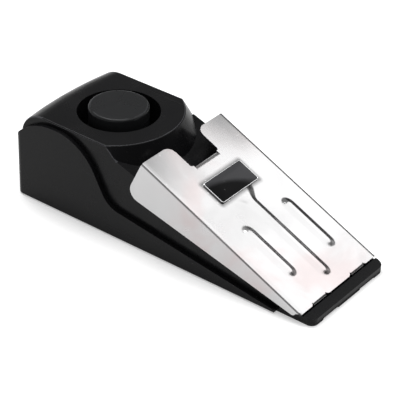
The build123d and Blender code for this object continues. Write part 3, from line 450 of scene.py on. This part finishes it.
def laminate(name, colour):
    """Circuit board: solder mask over glass cloth, whose two sets of threads show faintly."""
    material, tree, shader = start_material(name, {"Coat Weight": 0.3, "Coat Roughness": 0.2})
    place = place_on(tree)
    threads = [
        add(tree, "ShaderNodeTexWave", {"Vector": place, "Scale": 420.0}, bands_direction=way)
        for way in ("X", "Y")
    ]
    cloth = sum_of(tree, threads[0].outputs["Fac"], 0.5, threads[1].outputs["Fac"], 0.5)
    marks = placed_group(tree, marks_group, place)
    mask = blended(tree, cloth, shade(colour, 0.8), shade(colour, 1.15))
    tree.links.new(mask, shader.inputs["Base Color"])
    rough = calculated(tree, "MULTIPLY_ADD", marks["Smudge"], 0.15, 0.35)
    tree.links.new(rough, shader.inputs["Roughness"])
    bumped(tree, shader, cloth, 0.000008)
    return material


def rubber(name, colour):
    """Soft rubber: fine pores over a grained skin, and a chalky bloom."""
    material, tree, shader = start_material(name, {"Specular IOR Level": 0.25})
    place = place_on(tree)
    pores = add(tree, "ShaderNodeTexVoronoi", {"Vector": place, "Scale": 1600.0})
    skin = placed_group(tree, skin_group, place, {"Grain": 1900.0})
    marks = placed_group(tree, marks_group, place, {"Size": 80.0})
    bloom = blended(tree, marks["Smudge"], shade(colour, 0.85), shade(colour, 1.7))
    tree.links.new(bloom, shader.inputs["Base Color"])
    rough = calculated(tree, "MULTIPLY_ADD", skin["Tone"], 0.2, 0.6)
    tree.links.new(rough, shader.inputs["Roughness"])
    bumped(tree, shader, sum_of(tree, pores.outputs["Distance"], 0.5, skin["Height"], 0.5), 0.00003)
    return material


# Slope of the plate at rest, for its rolled lines and its mesh
PLATE_ANGLE = math.radians(24.7)
finishes = {
    # The case and cap lift their rounded upper edges to a multiple of their colour: a painted highlight
    "case_plastic": moulded(
        "case plastic", (0.0052, 0.0052, 0.0057), 0.21, specular=0.14, dust=0.006, edge_highlight=11.0
    ),
    "cap_plastic": moulded(
        "cap plastic", (0.011, 0.0114, 0.0122), 0.27,
        grain=1500.0, depth=0.000014, specular=0.22, dust=0.006, edge_highlight=3.0,
    ),
    "inner_plastic": moulded("inner plastic", (0.02, 0.02, 0.021), 0.5),
    "brass": metal("rolled brass", (0.72, 0.53, 0.22), 0.28),
    "ceramic": moulded("silvered ceramic", (0.82, 0.8, 0.74), 0.55, grain=3200.0),
    "plate_steel": metal(
        "plate steel", (0.6, 0.597, 0.6), 0.14, lines=1700.0, clouds=22.0, depth=0.0000015,
        wear=0.08, tilt=PLATE_ANGLE, stain=(0.585, 0.53, 0.53, 1.0),
    ),
    "badge_chrome": metal(
        "badge chrome", (0.8, 0.8, 0.81), 0.06, lines=900.0, clouds=60.0, depth=0.0, wear=0.05
    ),
    # Black insert, and the colour of its painted reflection
    "badge_gloss": gloss_with_painted_reflection(
        "badge gloss", (0.0012, 0.0012, 0.0014, 1.0), (0.055, 0.055, 0.058, 1.0)
    ),
    "spring_steel": metal("spring wire", (0.6, 0.6, 0.6), 0.25, lines=2500.0, clouds=90.0),
    "battery_jacket": metal("battery jacket", (0.1, 0.11, 0.13), 0.35, lines=700.0, clouds=30.0),
    "terminal_metal": metal("nickel plate", (0.72, 0.71, 0.68), 0.2),
    "board_laminate": laminate("board laminate", (0.03, 0.16, 0.07)),
    "button_plastic": moulded("button plastic", (0.6, 0.08, 0.05), 0.4),
    "switch_metal": metal("tinned steel", (0.62, 0.62, 0.62), 0.3),
    "knob_plastic": moulded("knob plastic", (0.7, 0.7, 0.68), 0.42),
    "sensor_sleeve": moulded("sensor sleeve", (0.05, 0.05, 0.06), 0.4),
    "ferrite": moulded("ferrite", (0.04, 0.04, 0.045), 0.6, grain=4200.0, depth=0.00003),
    "copper": metal("enamelled copper", (0.65, 0.27, 0.12), 0.25, lines=2600.0, clouds=80.0),
    "capacitor_sleeve": moulded("capacitor sleeve", (0.04, 0.06, 0.16), 0.25),
    "resistor_body": moulded("resistor lacquer", (0.6, 0.5, 0.34), 0.35),
    "lead_red": moulded("red insulation", (0.55, 0.03, 0.02), 0.35),
    "lead_black": moulded("black insulation", (0.02, 0.02, 0.02), 0.35),
    "screw_steel": metal("zinc plate", (0.55, 0.55, 0.56), 0.3, lines=1200.0, clouds=120.0),
    "grip_rubber": rubber("grip rubber", (0.015, 0.015, 0.015)),
}


def dress(piece, slot):
    """Gives a piece the finish of one of the record's slots."""
    piece.data.materials.clear()
    piece.data.materials.append(finishes[slot])


# Every CAD node takes its slot's finish, and those that no piece stands for keep it
for part in frame["record"]["subparts"]:
    nodes[part["node"]].material_slots[0].material = finishes[part["material_slot"]]


# Pressure plate, in millimetres along it: distance forward of its hinge, across, and rise
MM = 0.001
hinge = next(joint["pos_m"] for joint in frame["joints"] if joint["name"] == "plate_press")
HINGE_X, HINGE_Z = hinge[0] / MM, hinge[2] / MM
SHEET = 0.6
PLATE_TOP = 1.5
PLATE_REAR, PLATE_FRONT = -82.1, 1.0
# Side folds: two arcs, the first wider, out to the flanges' outer faces
SIDE_FACE = 25.05
FOLD_TURNS = (0.0, math.pi / 6, math.pi / 2)
FOLD_RADII = (2.6, 1.4)
FRONT_FOLD = 2.0 / 3.0
FLANGE_REAR_RISE, FLANGE_FRONT_RISE = -16.6, -1.7
FLANGE_FRONT = -1.1
FLANGE_CORNER, FLANGE_FRONT_CORNER = 4.5, 1.5
FLANGE_REAR_RUN, FLANGE_FRONT_RUN = 14.2, 7.9
# Rear notch, and the centre tab that comes down out of it and turns forward
NOTCH_FRONT, NOTCH_HALF = -70.1, 8.5
NOTCH_REAR_RADIUS, NOTCH_INNER_RADIUS = 3.75, 1.0
NOTCH_BEND = NOTCH_FRONT - NOTCH_INNER_RADIUS
NOTCH_CORNER = NOTCH_HALF - NOTCH_INNER_RADIUS
TAB_HALF, TAB_SLIT = 7.0, 7.2
TAB_START = -67.9
TAB_BEND, TAB_RADIUS = (-68.2, -0.4), 1.9
FOOT_BEND, FOOT_RADIUS, FOOT_END = (-69.0, -8.2), 1.1, -64.8
# Curled front tabs, each in a relief whose sides taper away from it
CURL_OFFSET, CURL_HALF, RELIEF_HALF = 12.457, 4.0, 4.4
CURL_SWEEP = math.radians(215.0)
MIDDLE_STRIP_HALF, RELIEF_TAPER = 7.9, 0.16
# Pressed ribs: rear end, front end and offset of each, and the flare of the middle one
RIB_RISE, RIB_FLAT, RIB_REACH = 0.68, 0.6, 3.0
RIB_END_STRETCH = 0.75
FLARE_START, FLARE_END, FLARE_FADE = -44.4, -50.9, -53.0
FLARE_SPREAD, FLARE_LIFT = 1.6, 0.05
RIBS = ((FLARE_START, -7.9, 0.0), (-35.4, -15.4, 12.66), (-35.4, -15.4, -12.66))
# Badge's place on the plate, and the painted shade beside it and on the curled tabs
BADGE_MIDDLE = -56.35
BADGE_HALF_LENGTH, BADGE_HALF_WIDTH, BADGE_CORNER = 5.45, 11.5, 1.2
PAINTED_SHADE_WIDTH, PAINTED_SHADE_DROP = 2.2, 0.5
# Grid: longest steps across and along, marks at the ribs, and counts of steps round or down
INNER_STEP, OUTER_STEP = 0.35, 0.36
LEG_STEP, NOTCH_STEP, BODY_STEP, FRONT_STEP = 0.8, 0.4, 0.42, 0.33
MIDDLE_RIB_MARK, SIDE_RIB_MARKS = 2.2, (CURL_OFFSET - 2.3, CURL_OFFSET + 2.7)
RIB_ROWS = (-51.0, -42.0, -39.5, -34.0, -16.5, -11.0, -9.0, -4.0)
FOLD_STEPS, CORNER_STEPS, CURL_STEPS, FLANGE_STEPS, TAB_STEPS = 12, 6, 32, 18, 9
# Places that differ by less than this are the same place
SAME = 1e-7


def on_plate(distance, across, rise):
    """Points of the row frame: the hinge point, turned down by the plate's angle about Y."""
    turn = PLATE_ANGLE
    x = HINGE_X + distance * np.cos(turn) + rise * np.sin(turn)
    z = HINGE_Z - distance * np.sin(turn) + rise * np.cos(turn)
    return np.stack(np.broadcast_arrays(x, across, z), axis=-1) * MM


def smooth_step(value):
    """0 below 0, 1 above 1, and 3v^2 - 2v^3 between."""
    value = np.clip(value, 0.0, 1.0)
    return value * value * (3.0 - 2.0 * value)


def fold(angle):
    """How far out and how far down the fold has come at an angle: two arcs, the first wider."""
    out = drop = 0.0
    for radius, start, end in zip(FOLD_RADII, FOLD_TURNS, FOLD_TURNS[1:]):
        reached = np.clip(angle, start, end)
        out = out + radius * (np.sin(reached) - math.sin(start))
        drop = drop + radius * (math.cos(start) - np.cos(reached))
    return out, drop


def rib_slope(away):
    """1 over a rib's flat and 0 past its reach from the middle line, by a smooth step."""
    return smooth_step((RIB_REACH - away) / (RIB_REACH - RIB_FLAT))


def rib_rise(distance, across):
    """Pressed ribs: the rise times each rib's slope about its middle line, the highest one.

    The middle rib runs on under the badge, where its slope is stretched wider and a little higher.
    """
    rise = np.zeros(np.broadcast(distance, across).shape)
    for start, end, offset in RIBS:
        beyond = distance - np.clip(distance, start, end)
        away = np.hypot(beyond * RIB_END_STRETCH, across - offset)
        rise = np.maximum(rise, RIB_RISE * rib_slope(away))
    flared = smooth_step((FLARE_START - distance) / (FLARE_START - FLARE_END))
    faded = smooth_step((distance - FLARE_FADE) / (FLARE_END - FLARE_FADE))
    flare = rib_slope(np.abs(across) / (1.0 + FLARE_SPREAD * flared)) * faded
    height = RIB_RISE * (1.0 + FLARE_LIFT * flared) * (distance < FLARE_START + RIB_REACH)
    return np.maximum(rise, height * flare)


def spread(marks, step):
    """Marks in order with even steps between each two, no longer than the step."""
    runs = [
        np.linspace(first, last, max(1, int(np.ceil((last - first) / step))) + 1)[:-1]
        for first, last in zip(marks, marks[1:])
    ]
    return np.concatenate(runs + [[marks[-1]]])


def plate_columns():
    """Columns over half of the flat top, with an arc's own where the notch's corner is round."""
    inner = spread([0.0, MIDDLE_RIB_MARK, TAB_HALF, TAB_SLIT, NOTCH_CORNER], INNER_STEP)
    outer = spread([NOTCH_HALF, *SIDE_RIB_MARKS, CURL_OFFSET + RELIEF_HALF, FLAT_HALF], OUTER_STEP)
    turn = np.linspace(0.0, math.pi / 2, CORNER_STEPS + 1)[1:-1]
    corner = NOTCH_CORNER + NOTCH_INNER_RADIUS * np.sin(turn)
    edges = [MIDDLE_STRIP_HALF, CURL_OFFSET - CURL_HALF, CURL_OFFSET + CURL_HALF]
    return np.unique(np.round(np.concatenate([inner, corner, outer, edges]), 4))


FOLD_RUN, FOLD_DROP = fold(FOLD_TURNS[-1])
FLAT_HALF = SIDE_FACE - FOLD_RUN
FLANGE_TOP = PLATE_TOP - FOLD_DROP
TURNS = np.linspace(0.0, math.pi / 2, FOLD_STEPS + 1)[1:]
COLUMNS = plate_columns()
LEG_ROWS = spread([PLATE_REAR, NOTCH_BEND], LEG_STEP)
NOTCH_ROWS = spread([NOTCH_BEND, TAB_START], NOTCH_STEP)
BODY_ROWS = spread([TAB_START, *RIB_ROWS, FLANGE_FRONT, 0.0], BODY_STEP)
FRONT_ROWS = spread([0.0, PLATE_FRONT], FRONT_STEP)


def sided(points, side):
    """A patch of one side, its faces kept pointing outwards."""
    return points if side > 0 else points[:, ::-1]


def closed_up(rows, edge):
    """Rows that leave from an edge's own line and close up evenly to the last row."""
    share = ((rows - rows[0]) / np.ptp(rows))[:, None]
    return edge + share * (rows[-1] - edge)


def strip(side, distance, columns, turns=None):
    """Top surface over the columns, and on round the fold where its turns are given."""
    flat = on_plate(distance, side * columns, PLATE_TOP + rib_rise(distance, columns))
    if turns is None:
        return sided(flat, side)
    out, drop = fold(turns)
    bend = on_plate(distance[:, -1:], side * (FLAT_HALF + out), PLATE_TOP - drop)
    return sided(np.concatenate([flat, bend], axis=1), side)


def rear_patches(side):
    """Leg beside the notch with its rounded rear end, and the rows on to the tab's start."""
    legs = COLUMNS[COLUMNS >= NOTCH_HALF]
    round_in = np.clip(NOTCH_HALF + NOTCH_REAR_RADIUS - legs, 0.0, NOTCH_REAR_RADIUS)
    rear = PLATE_REAR + NOTCH_REAR_RADIUS - np.sqrt(NOTCH_REAR_RADIUS**2 - round_in**2)
    inner = COLUMNS[(COLUMNS >= TAB_SLIT) & (COLUMNS <= NOTCH_HALF)]
    bend_in = np.clip(inner - NOTCH_CORNER, 0.0, NOTCH_INNER_RADIUS)
    edge = NOTCH_BEND + np.sqrt(NOTCH_INNER_RADIUS**2 - bend_in**2)
    return [
        strip(side, closed_up(LEG_ROWS, rear), legs, TURNS),
        strip(side, NOTCH_ROWS[:, None], legs, TURNS),
        strip(side, closed_up(NOTCH_ROWS, edge), inner),
    ]


def body_patch(side):
    """From the tab's start to the hinge: past the flange the fold closes to its front share."""
    rows = BODY_ROWS[:, None]
    closed = smooth_step((rows - FLANGE_FRONT) / -FLANGE_FRONT)
    return strip(side, rows, COLUMNS, TURNS * (1.0 - (1.0 - FRONT_FOLD) * closed))


def front_patches(side):
    """Strips in front of the hinge, on both sides of a curled tab's relief."""
    rows = FRONT_ROWS[:, None]
    taper = RELIEF_TAPER * (rows / PLATE_FRONT) ** 2
    middle = COLUMNS[COLUMNS <= MIDDLE_STRIP_HALF]
    outer = COLUMNS[COLUMNS >= CURL_OFFSET + RELIEF_HALF - SAME]
    out, drop = fold(TURNS * FRONT_FOLD)
    bend = np.broadcast_to(FLAT_HALF + out, (len(rows), len(out)))
    across = np.concatenate([outer + taper * (FLAT_HALF - outer), bend], axis=1)
    rise = np.concatenate([np.full(len(outer), PLATE_TOP), PLATE_TOP - drop])
    return [
        sided(on_plate(rows, side * middle * (1.0 - taper), PLATE_TOP), side),
        sided(on_plate(rows, side * across, rise), side),
    ]


def curl_patch(side):
    """Curled tab: an arc about the hinge's axis that carries on from the sheet."""
    across = COLUMNS[(COLUMNS >= CURL_OFFSET - CURL_HALF) & (COLUMNS <= CURL_OFFSET + CURL_HALF)]
    turn = np.linspace(0.0, CURL_SWEEP, CURL_STEPS + 1)[:, None]
    return sided(
        on_plate(PLATE_TOP * np.sin(turn), side * across, PLATE_TOP * np.cos(turn)), side
    )


def flange_bottom(distance):
    """Straight lower edge of the flange, from its deep rear to its shallow front."""
    share = (distance - PLATE_REAR) / (FLANGE_FRONT - PLATE_REAR)
    return FLANGE_REAR_RISE + share * (FLANGE_FRONT_RISE - FLANGE_REAR_RISE)


def flange_end(edge, radius, share):
    """End of the flange: straight down the edge, then an arc on to the lower edge.

    The share runs evenly along the line, and the arc touches both the edge and the lower edge.
    """
    slope = math.atan2(FLANGE_FRONT_RISE - FLANGE_REAR_RISE, FLANGE_FRONT - PLATE_REAR)
    inward = 1.0 if edge == PLATE_REAR else -1.0
    middle = edge + inward * radius
    height = flange_bottom(middle) + radius / math.cos(slope)
    straight = FLANGE_TOP - height
    sweep = math.pi / 2 + inward * slope
    run = share * (straight + radius * sweep)
    angle = np.clip((run - straight) / radius, 0.0, sweep)
    distance = middle - inward * radius * np.cos(angle)
    return distance, height + np.maximum(straight - run, 0.0) - radius * np.sin(angle)


def flange_patch(side):
    """Flange: its end columns follow the rounded corners and close up to upright ones."""
    share = np.linspace(0.0, 1.0, FLANGE_STEPS + 1)
    rows = np.unique(np.concatenate([LEG_ROWS, NOTCH_ROWS, BODY_ROWS]))
    rows = rows[rows <= FLANGE_FRONT + SAME][:, None]
    distance = np.repeat(rows, len(share), axis=1)
    rise = FLANGE_TOP + share * (flange_bottom(rows) - FLANGE_TOP)
    for edge, radius, reach in (
        (PLATE_REAR, FLANGE_CORNER, FLANGE_REAR_RUN),
        (FLANGE_FRONT, FLANGE_FRONT_CORNER, -FLANGE_FRONT_RUN),
    ):
        inside = edge + reach
        pull = np.clip(1.0 - (rows - edge) / reach, 0.0, 1.0)
        end_distance, end_rise = flange_end(edge, radius, share)
        far_rise = FLANGE_TOP + share * (flange_bottom(inside) - FLANGE_TOP)
        near_end = pull > 0
        distance = np.where(near_end, inside + pull * (end_distance - inside), distance)
        rise = np.where(near_end, far_rise + pull * (end_rise - far_rise), rise)
    return sided(on_plate(distance, side * SIDE_FACE, rise), side)


def centre_tab_patch(side):
    """Half of the centre tab: round the bend, down, and forward into its foot."""
    turn = np.linspace(0.0, math.pi / 2, TAB_STEPS + 1)
    path = np.concatenate([
        [(TAB_START, PLATE_TOP)],
        TAB_BEND + TAB_RADIUS * np.stack((-np.sin(turn), np.cos(turn)), axis=1),
        FOOT_BEND - FOOT_RADIUS * np.stack((np.cos(turn), np.sin(turn)), axis=1),
        [(FOOT_END, FOOT_BEND[1] - FOOT_RADIUS)],
    ])[::-1]
    tab = COLUMNS[COLUMNS <= TAB_HALF]
    return sided(on_plate(path[:, :1], side * tab, path[:, 1:]), side)


def grid_mesh(name, patches):
    """Mesh of grids of points; points that fall together are made one."""
    points, faces, start = [], [], 0
    for patch in patches:
        rows, columns = patch.shape[:2]
        index = start + np.arange(rows * columns).reshape(rows, columns)
        points.append(patch.reshape(-1, 3))
        faces.append(np.stack(
            (index[:-1, :-1], index[1:, :-1], index[1:, 1:], index[:-1, 1:]), axis=-1
        ).reshape(-1, 4))
        start += rows * columns
    points = np.concatenate(points)
    keys = np.round(points / SAME).astype(np.int64)
    _, first, place = np.unique(keys, axis=0, return_index=True, return_inverse=True)
    quads = place.reshape(-1)[np.concatenate(faces)]
    mesh = bpy.data.meshes.new(name)
    mesh.from_pydata(points[first], [], quads)
    mesh.validate()
    mesh.shade_smooth()
    piece = bpy.data.objects.new(name, mesh)
    scene.collection.objects.link(piece)
    return piece


def finish_mesh(piece, sharp_degrees):
    """Applies the piece's modifiers, and makes its edges sharp past an angle."""
    graph = bpy.context.evaluated_depsgraph_get()
    mesh = bpy.data.meshes.new_from_object(piece.evaluated_get(graph))
    piece.modifiers.clear()
    piece.data = mesh
    mesh.name = piece.name
    mesh.set_sharp_from_angle(angle=math.radians(sharp_degrees))


def thicken(piece, thickness):
    """Wall of an even thickness, laid inwards from the surface."""
    wall = piece.modifiers.new("wall", "SOLIDIFY")
    wall.thickness = thickness
    wall.offset = -1.0
    wall.use_quality_normals = True


def mark_painted_shade(mesh):
    """Point attribute of painted shade: 1 against the badge's sides and low on the curled tabs, fading out.

    Turned back into the plate's own distance and rise, a point's painted shade is the greater of two
    smooth steps: of its distance off the badge's outline, and of its drop below the plate's top.
    """
    points = np.empty(len(mesh.vertices) * 3)
    mesh.vertices.foreach_get("co", points)
    x, across, z = points.reshape(-1, 3).T / MM
    forward, up = x - HINGE_X, z - HINGE_Z
    distance = forward * math.cos(PLATE_ANGLE) - up * math.sin(PLATE_ANGLE)
    rise = forward * math.sin(PLATE_ANGLE) + up * math.cos(PLATE_ANGLE)
    off = np.hypot(
        np.maximum(np.abs(distance - BADGE_MIDDLE) - BADGE_HALF_LENGTH, 0.0),
        np.maximum(np.abs(across) - BADGE_HALF_WIDTH, 0.0),
    )
    curled = smooth_step((PLATE_TOP - rise) / PAINTED_SHADE_DROP) * (distance > 0.0)
    # Painted shade: contact shadow round the badge, and shade low on the curled tabs
    painted_shade = np.maximum(1.0 - smooth_step(off / PAINTED_SHADE_WIDTH), curled)
    marks = mesh.attributes.new("painted_shade", "FLOAT", "POINT")
    marks.data.foreach_set("value", painted_shade.astype(np.float32))


def make_plate():
    """Folded sheet as grids that share their borders: rows run along it, columns across.

    A column across the top is a Y, then an angle round the fold, then a share down the flange.
    """
    patches = []
    for side in (1, -1):
        patches += rear_patches(side) + [body_patch(side)] + front_patches(side)
        patches += [curl_patch(side), flange_patch(side), centre_tab_patch(side)]
    plate = grid_mesh("plate_sheet", patches)
    thicken(plate, SHEET * MM)
    dress(plate, "plate_steel")
    finish_mesh(plate, sharp_degrees=35.0)
    mark_painted_shade(plate.data)
    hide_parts("pressure_plate")
    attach(plate, "plate")


make_plate()


# Moulded pieces: the CAD shapes with their edges rounded as a mould leaves them
MERGE_DISTANCE, FLAT_SEAM = 0.000002, math.radians(0.6)
EDGE_TURN, EDGE_SEGMENTS = math.radians(34.0), 3
# Strips that round an edge: turned from a neighbour, narrow for their length, and facing up
STRIP_TURN, STRIP_WIDTH, STRIP_RISE = math.radians(9.0), 0.0004, 0.15


def mark_rounding(mesh):
    """Face attribute that is 1 on the narrow strips that round an upper edge, and 0 elsewhere."""
    shell = bmesh.new()
    shell.from_mesh(mesh)
    strips = [
        max(edge.calc_face_angle(0.0) for edge in face.edges) > STRIP_TURN
        and face.normal.z > STRIP_RISE
        and face.calc_area() < STRIP_WIDTH * max(edge.calc_length() for edge in face.edges)
        for face in shell.faces
    ]
    shell.free()
    # This mark carries the plastics' painted edge highlight
    marks = mesh.attributes.new("rounding", "FLOAT", "FACE")
    marks.data.foreach_set("value", np.array(strips, dtype=np.float32))


def softened(node, name, width, slot, body):
    """Copy of a CAD node, cleared of flat seams, with sharp edges rounded to a width in metres."""
    merged = bmesh.new()
    merged.from_mesh(nodes[node].data)
    bmesh.ops.remove_doubles(merged, verts=merged.verts, dist=MERGE_DISTANCE)
    bmesh.ops.dissolve_limit(
        merged, angle_limit=FLAT_SEAM, verts=merged.verts, edges=merged.edges
    )
    mesh = bpy.data.meshes.new(name)
    merged.to_mesh(mesh)
    merged.free()
    mesh.shade_smooth()
    piece = bpy.data.objects.new(name, mesh)
    scene.collection.objects.link(piece)
    dress(piece, slot)
    edges = piece.modifiers.new("mould radius", "BEVEL")
    edges.width = width
    edges.segments = EDGE_SEGMENTS
    edges.limit_method = "ANGLE"
    edges.angle_limit = EDGE_TURN
    edges.miter_outer = "MITER_ARC"
    edges.use_clamp_overlap = True
    normals = piece.modifiers.new("even faces", "WEIGHTED_NORMAL")
    normals.keep_sharp = True
    finish_mesh(piece, sharp_degrees=40.0)
    mark_rounding(piece.data)
    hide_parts(node)
    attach(piece, body)


softened("upper_housing", "upper_shell", 0.0004, "case_plastic", "case")
softened("lower_housing", "lower_shell", 0.0005, "case_plastic", "case")
softened("siren_cap", "siren_button", 0.0003, "cap_plastic", "case")
softened("battery_door", "door_shell", 0.00025, "case_plastic", "door")
softened("grip_pad", "grip_sole", 0.0003, "grip_rubber", "case")
softened("rear_feet", "rubber_feet", 0.0003, "grip_rubber", "case")
softened("power_knob", "power_slider", 0.00015, "knob_plastic", "power")
softened("sensitivity_knob", "sensitivity_slider", 0.00015, "knob_plastic", "sensitivity")


def ring_mesh(name, rings, looped, slot, body, replaced, sharp_degrees=40.0):
    """Closed mesh of rings of points, outer index along: looped, or capped at both ends."""
    count, around = rings.shape[:2]
    index = np.arange(count * around).reshape(count, around)
    following = np.roll(index, -1, axis=0) if looped else index[1:]
    current = index if looped else index[:-1]
    quads = np.stack((
        current, np.roll(current, -1, axis=1), np.roll(following, -1, axis=1), following
    ), axis=-1).reshape(-1, 4).tolist()
    caps = [] if looped else [index[0][::-1].tolist(), index[-1].tolist()]
    mesh = bpy.data.meshes.new(name)
    mesh.from_pydata(rings.reshape(-1, 3), [], quads + caps)
    mesh.validate()
    mesh.shade_smooth()
    shell = bmesh.new()
    shell.from_mesh(mesh)
    bmesh.ops.recalc_face_normals(shell, faces=shell.faces)
    shell.to_mesh(mesh)
    shell.free()
    mesh.set_sharp_from_angle(angle=math.radians(sharp_degrees))
    piece = bpy.data.objects.new(name, mesh)
    scene.collection.objects.link(piece)
    dress(piece, slot)
    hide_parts(replaced)
    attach(piece, body)
    return piece


# Badge: a thin bright frame round a domed dark insert; the frame's points are inset and rise
BEZEL_PROFILE = (
    (0.0, 0.0), (0.0, 0.55), (0.04, 0.66), (0.12, 0.71), (0.3, 0.71), (0.36, 0.67), (0.4, 0.3),
)
CORNER_POINTS = 9
INSERT_GAP = 0.39
INSERT_BASE, INSERT_EDGE, INSERT_CROWN = 0.3, 0.62, 0.34
DOME_RINGS, DOME_CLOSING = 24, 1.4
PAINTED_REFLECTION_BOW = 0.35


def badge_outline(inset):
    """Rounded rectangle about the badge's middle, moved inwards: an arc at each of its corners."""
    arc = np.linspace(0.0, math.pi / 2, CORNER_POINTS)
    turn = (np.arange(4)[:, None] * math.pi / 2 + arc).ravel()
    quarter = np.repeat(np.arange(4), CORNER_POINTS)
    along = np.where((quarter == 0) | (quarter == 3), 1.0, -1.0)
    across = np.where(quarter < 2, 1.0, -1.0)
    radius = BADGE_CORNER - inset
    return (
        along * (BADGE_HALF_LENGTH - BADGE_CORNER) + radius * np.cos(turn),
        across * (BADGE_HALF_WIDTH - BADGE_CORNER) + radius * np.sin(turn),
    )


def make_badge_frame():
    """Closed profile carried round the badge's outline."""
    rings = []
    for inset, rise in BEZEL_PROFILE:
        along, across = badge_outline(inset)
        rings.append(on_plate(BADGE_MIDDLE + along, across, PLATE_TOP + rise))
    ring_mesh("badge_frame", np.stack(rings), True, "badge_chrome", "plate", "badge_bezel")


def make_badge_insert():
    """Rings that rise from a foot to the edge and then close in under a dome.

    Its rise is its crown times (1 - |length|^3) x (1 - |width|^5), each from -1 to 1.
    """
    along, across = badge_outline(INSERT_GAP)
    closing = np.linspace(0.0, 1.0, DOME_RINGS + 1)[1:-1] ** DOME_CLOSING
    shares = np.concatenate([[0.0, 0.0], closing])[:, None]
    length = along * (1.0 - shares) / BADGE_HALF_LENGTH
    width = across * (1.0 - shares) / BADGE_HALF_WIDTH
    rise = INSERT_EDGE + INSERT_CROWN * (1.0 - np.abs(length) ** 3) * (1.0 - np.abs(width) ** 5)
    rise[0] = INSERT_BASE
    rings = on_plate(
        BADGE_MIDDLE + length * BADGE_HALF_LENGTH, width * BADGE_HALF_WIDTH, PLATE_TOP + rise
    )
    insert = ring_mesh("badge_dome", rings, False, "badge_gloss", "plate", "badge_insert")
    # Painted reflection under the gloss: a lighter sweep towards the +Y rear corner, past a bowed line
    sweep = insert.data.attributes.new("sweep", "FLOAT", "POINT")
    value = width - length - PAINTED_REFLECTION_BOW * np.cos(width * math.pi / 2)
    sweep.data.foreach_set("value", value.astype(np.float32).ravel())


make_badge_frame()
make_badge_insert()


# Return spring under the plate, and the wire round the coil's core
SPRING_WIRE, SPRING_TURNS, SPRING_CLOSED = 0.0006, 7.0, 0.9
COIL_WIRE, COIL_TURNS = 0.00022, 18.0
STEPS_PER_TURN, WIRE_SIDES = 40, 12


def wound_wire(name, node, wire, turns, slot, closed=0.0):
    """Round wire wound about an upright axis between the node's ends.

    Its height goes from end to end evenly with the turns, but for the closed turns at the ends,
    where it climbs at the wire's own thickness.
    """
    low, high = (np.array(corner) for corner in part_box(node))
    middle = (low + high) / 2
    radius = (high[0] - low[0]) / 2 - wire / 2
    steps = np.linspace(0.0, turns, int(turns * STEPS_PER_TURN) + 1)
    bottom, top = low[2] + wire / 2, high[2] - wire / 2
    climb = np.interp(
        steps, [0.0, closed, turns - closed, turns],
        [bottom, bottom + closed * wire, top - closed * wire, top],
    )
    angle = 2 * math.pi * steps
    outward = np.stack((np.cos(angle), np.sin(angle), np.zeros_like(angle)), axis=-1)
    line = np.array((*middle[:2], 0.0)) + radius * outward
    line[:, 2] = climb
    way = np.gradient(line, axis=0)
    way /= np.linalg.norm(way, axis=1, keepdims=True)
    upward = np.cross(way, outward)
    turn = np.linspace(0.0, 2 * math.pi, WIRE_SIDES + 1)[:-1][:, None]
    rings = line[:, None] + wire / 2 * (
        np.cos(turn) * outward[:, None] + np.sin(turn) * upward[:, None]
    )
    return ring_mesh(name, rings, False, slot, "case", node, sharp_degrees=60.0)


spring = wound_wire(
    "return_spring", "plate_spring", SPRING_WIRE, SPRING_TURNS, "spring_steel", SPRING_CLOSED
)
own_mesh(spring)
wound_wire("coil_wire", "boost_coil_winding", COIL_WIRE, COIL_TURNS, "copper")
